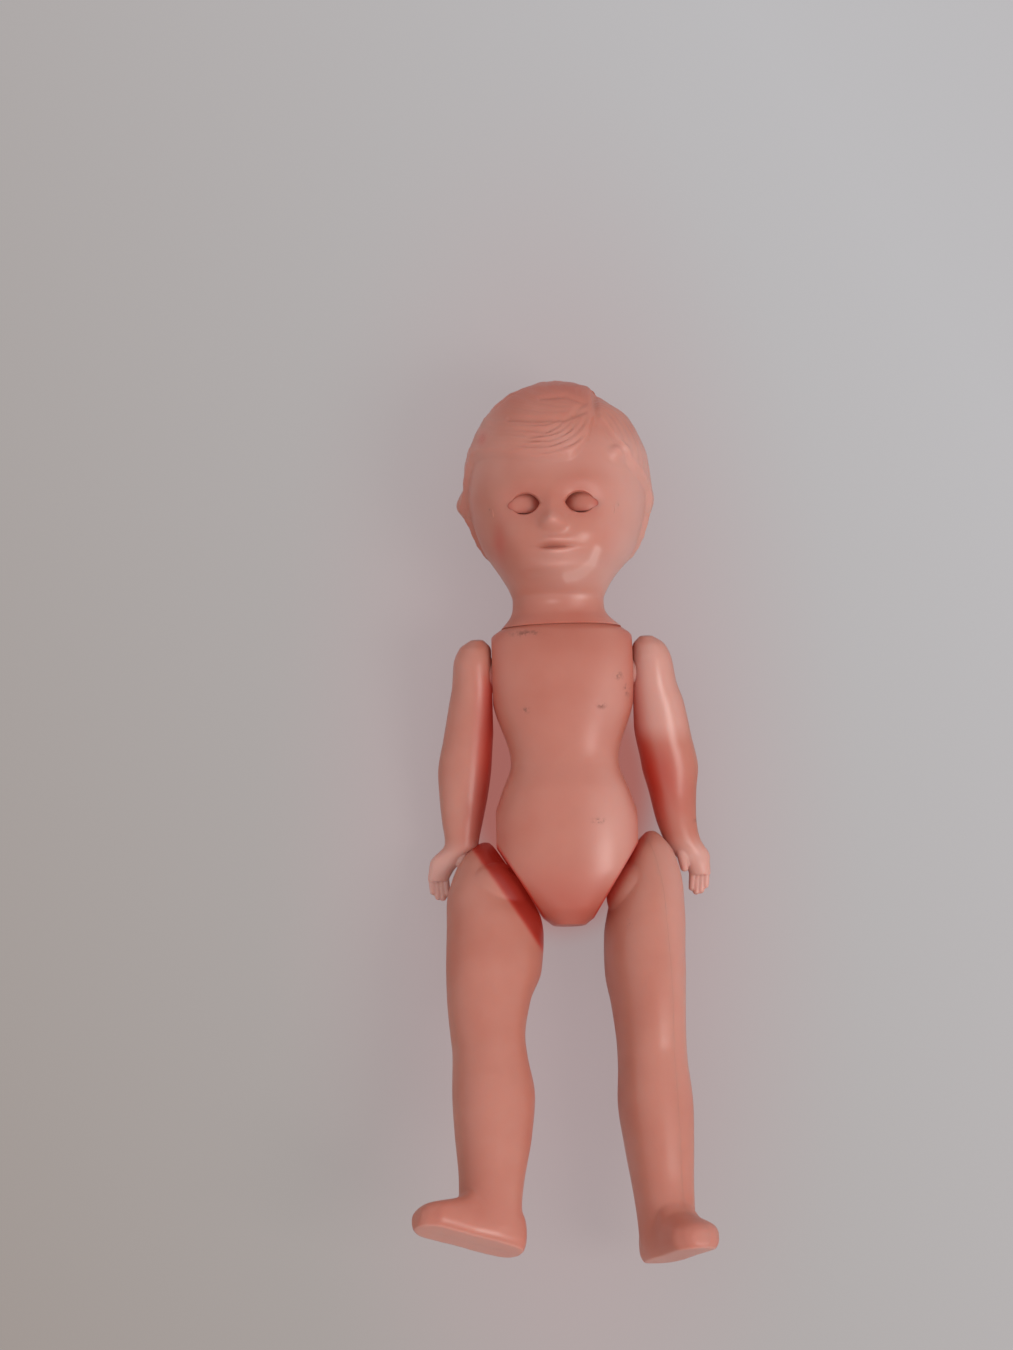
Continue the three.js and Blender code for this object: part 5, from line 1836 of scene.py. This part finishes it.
            # Painted highlight on the sole
            sole = 0.45 * fade(low, self.sole_place - 0.4, self.sole_place - 0.1)
            # Painted shade: redder on the underside and towards the ankle
            warm = 0.2 * fade(-z, 0, 9) + 0.05 * fade(-y, self.length - 16, self.length - 6)
            if right:
                # Painted shade in deep red and darker red in the band beside the torso's edge
                rim, depth = 1 - fade(inside, 4.0, 5.2), 0.62 * (1 - fade(inside, 3.4, 4.8))
                edge = grime = 0.0
            else:
                # A thin painted shade by the cut, and a painted highlight along the outer edge
                rim, depth = 0.6 * (1 - fade(inside, 0.6, 2.2)), 0.0
                edge = 0.45 * fade(x, 1.5, 8) * fade(z, -6, 4) * (1 - fade(-y, 10, 70) * 0.5)
                grime = 0.5 * swelling(x, y, -4.5, -8, 0.9, 0.9)
            red = rim + warm * (1 - sole)
            return {"redness": red, "paleness": sole + edge, "depth": depth, "grime": grime}

        return paint

    def build(self, dresser: Dresser, torso: Torso) -> None:
        """Builds both halves and adds them.

        Args:
            dresser: Takes the finished pieces.
            torso: The torso's sizes.
        """
        parting = Vector((math.cos(self.turn_out), 0, -math.sin(self.turn_out)))
        centre, inward = torso.hip(self.side)
        s = self.side.value
        axis = Vector((-abs(inward.x), s * inward.y, 0))
        place = Matrix.Translation(centre) @ Matrix.Rotation(self.swing, 4, axis)
        place = place @ Matrix.Rotation(s * self.spread, 4, "Z") @ Matrix.Rotation(s * self.twist, 4, "Y")
        place = place @ Matrix.Diagonal((s, 1, 1, 1))
        body, tint = f"leg_{self.side.word}", self.tint(torso)
        dresser.add_halves(self.shell(torso), body, ("outer", "inner"), parting, place, tint)


@dataclass
class InnerWorks:
    """The pins, washers, axle and weight, which keep their CAD shapes, and the elastic."""

    def build(self, nodes: dict[str, bpy.types.Object], finishes: Finishes) -> None:
        """Gives each inner node its material.

        Args:
            nodes: The CAD nodes by name.
            finishes: The doll's materials.
        """
        kinds = {
            "pin": finishes.steel,
            "yoke": finishes.steel,
            "washer": finishes.fibre,
            "weight": finishes.lead,
            "elastic": finishes.rubber,
        }
        for name, node in nodes.items():
            for word, material in kinds.items():
                if word in name:
                    node.data.materials.clear()
                    node.data.materials.append(material)
                    log.info("%s: %s", name, material.name)


@dataclass(frozen=True)
class Studio:
    """The floor, the light and the camera at the photograph's angle."""

    elevation: float = math.radians(80)
    roll: float = math.radians(-1.5)
    distance: float = 0.72
    pixels_per_metre: float = 4444.0
    frame_pixels: tuple[int, int] = (1013, 1350)
    doll_pixel: tuple[float, float] = (561.0, 815.0)
    doll_centre: Vector = field(default_factory=lambda: Vector((0, 0, 0.022)))
    floor_half_width: float = 1.5
    sensor_width: float = 36
    room_colour: str = "#f4f2f2"
    room_strength: float = 0.92
    window_place: tuple[float, float, float] = (0.62, -0.3, 0.8)
    window_size: float = 0.4
    window_watts: float = 4.2
    window_colour: str = "#fff8f4"

    def camera(self) -> None:
        """Makes the camera that frames the doll as the photograph does."""
        back = Vector((0, -math.cos(self.elevation), math.sin(self.elevation)))
        tilt = Matrix.Rotation(self.roll, 3, back)
        up = tilt @ Vector((0, math.sin(self.elevation), math.cos(self.elevation)))
        right = tilt @ Vector((1, 0, 0))
        wide, high = self.frame_pixels
        aim = self.doll_centre - right * ((self.doll_pixel[0] - wide / 2) / self.pixels_per_metre)
        aim = aim + up * ((self.doll_pixel[1] - high / 2) / self.pixels_per_metre)
        data = bpy.data.cameras.new("camera")
        data.sensor_width = self.sensor_width
        data.lens = self.pixels_per_metre * self.distance / high * data.sensor_width
        data.clip_start = 0.01
        camera = linked("camera", data)
        turn = Matrix((right, up, back)).transposed().to_4x4()
        camera.matrix_world = Matrix.Translation(aim + back * self.distance) @ turn
        bpy.context.scene.camera = camera

    def floor(self) -> None:
        """Makes the pale board that the doll lies on."""
        mesh = bpy.data.meshes.new("floor")
        size = self.floor_half_width
        corners = [(-size, -size, 0), (size, -size, 0), (size, size, 0), (-size, size, 0)]
        mesh.from_pydata(corners, [], [(0, 1, 2, 3)])
        floor = linked("floor", mesh)
        mesh.materials.append(PaleBoard("pale_board").make())

    def window(self) -> None:
        """Adds the square lamp that faces the doll."""
        data = bpy.data.lights.new("window", "AREA")
        data.size, data.energy = self.window_size, self.window_watts
        data.color = linear(self.window_colour)[:3]
        lamp = linked("window", data)
        lamp.location = self.window_place
        lamp.rotation_euler = (self.doll_centre - lamp.location).to_track_quat("-Z", "Y").to_euler()

    def light(self) -> None:
        """Lights the doll softly from its left, above its head."""
        world = bpy.data.worlds.new("room")
        world.use_nodes = True
        room = world.node_tree.nodes["Background"]
        room.inputs["Color"].default_value = linear(self.room_colour)
        room.inputs["Strength"].default_value = self.room_strength
        bpy.context.scene.world = world
        self.window()

    def build(self) -> None:
        """Sets up the whole studio."""
        bpy.context.scene.view_settings.view_transform = "Standard"
        self.camera()
        self.floor()
        self.light()


def doll_place(record: dict[str, Any], torso: Torso, head: Head) -> Matrix:
    """Finds how the doll lies in the frame from its neck joint.

    Args:
        record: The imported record.
        torso: The torso's sizes.
        head: The head's sizes.

    Returns:
        The doll's place, in millimetres.
    """
    joint = next(j for j in record["behaviour"]["joints"] if j["name"] == "neck_turn")
    axis = Vector(joint["axis"])
    turn = Matrix.Rotation(math.atan2(axis.z, axis.y), 4, "X")
    seat = Vector((0, head.gap, torso.neck_axis_height))
    return Matrix.Translation(Vector(joint["pos_m"]) / MM - turn @ seat) @ turn


def main() -> None:
    """Builds the doll's pieces in order and reports them."""
    logging.basicConfig(level=logging.INFO, format="%(name)s %(message)s")
    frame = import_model()
    torso, head = Torso(), Head()
    finishes = Finishes()
    dresser = Dresser(doll_place(frame["record"], torso, head), finishes)
    torso.build(dresser)
    head.build(dresser, torso)
    right_swing, left_swing = math.radians(13), math.radians(12)
    Arm(Side.RIGHT, right_swing, own_shape=STRAIGHT_ARM).build(dresser, torso)
    Arm(Side.LEFT, left_swing, own_shape=BOWED_ARM).build(dresser, torso)
    swing, twist, spread, tilt = np.radians((25, 24, -1, 5)).tolist()
    Leg(Side.RIGHT, swing, twist, spread, sole_tilt=tilt).build(dresser, torso)
    swing, twist, spread, tilt = np.radians((11, -8, 2.2, 1)).tolist()
    Leg(Side.LEFT, swing, twist, spread, sole_tilt=tilt, bow=INWARD_LEG).build(dresser, torso)
    InnerWorks().build(frame["nodes"], finishes)
    Studio().build()
    log.info("%d pieces", dresser.count)


if __name__ == "__main__":
    main()
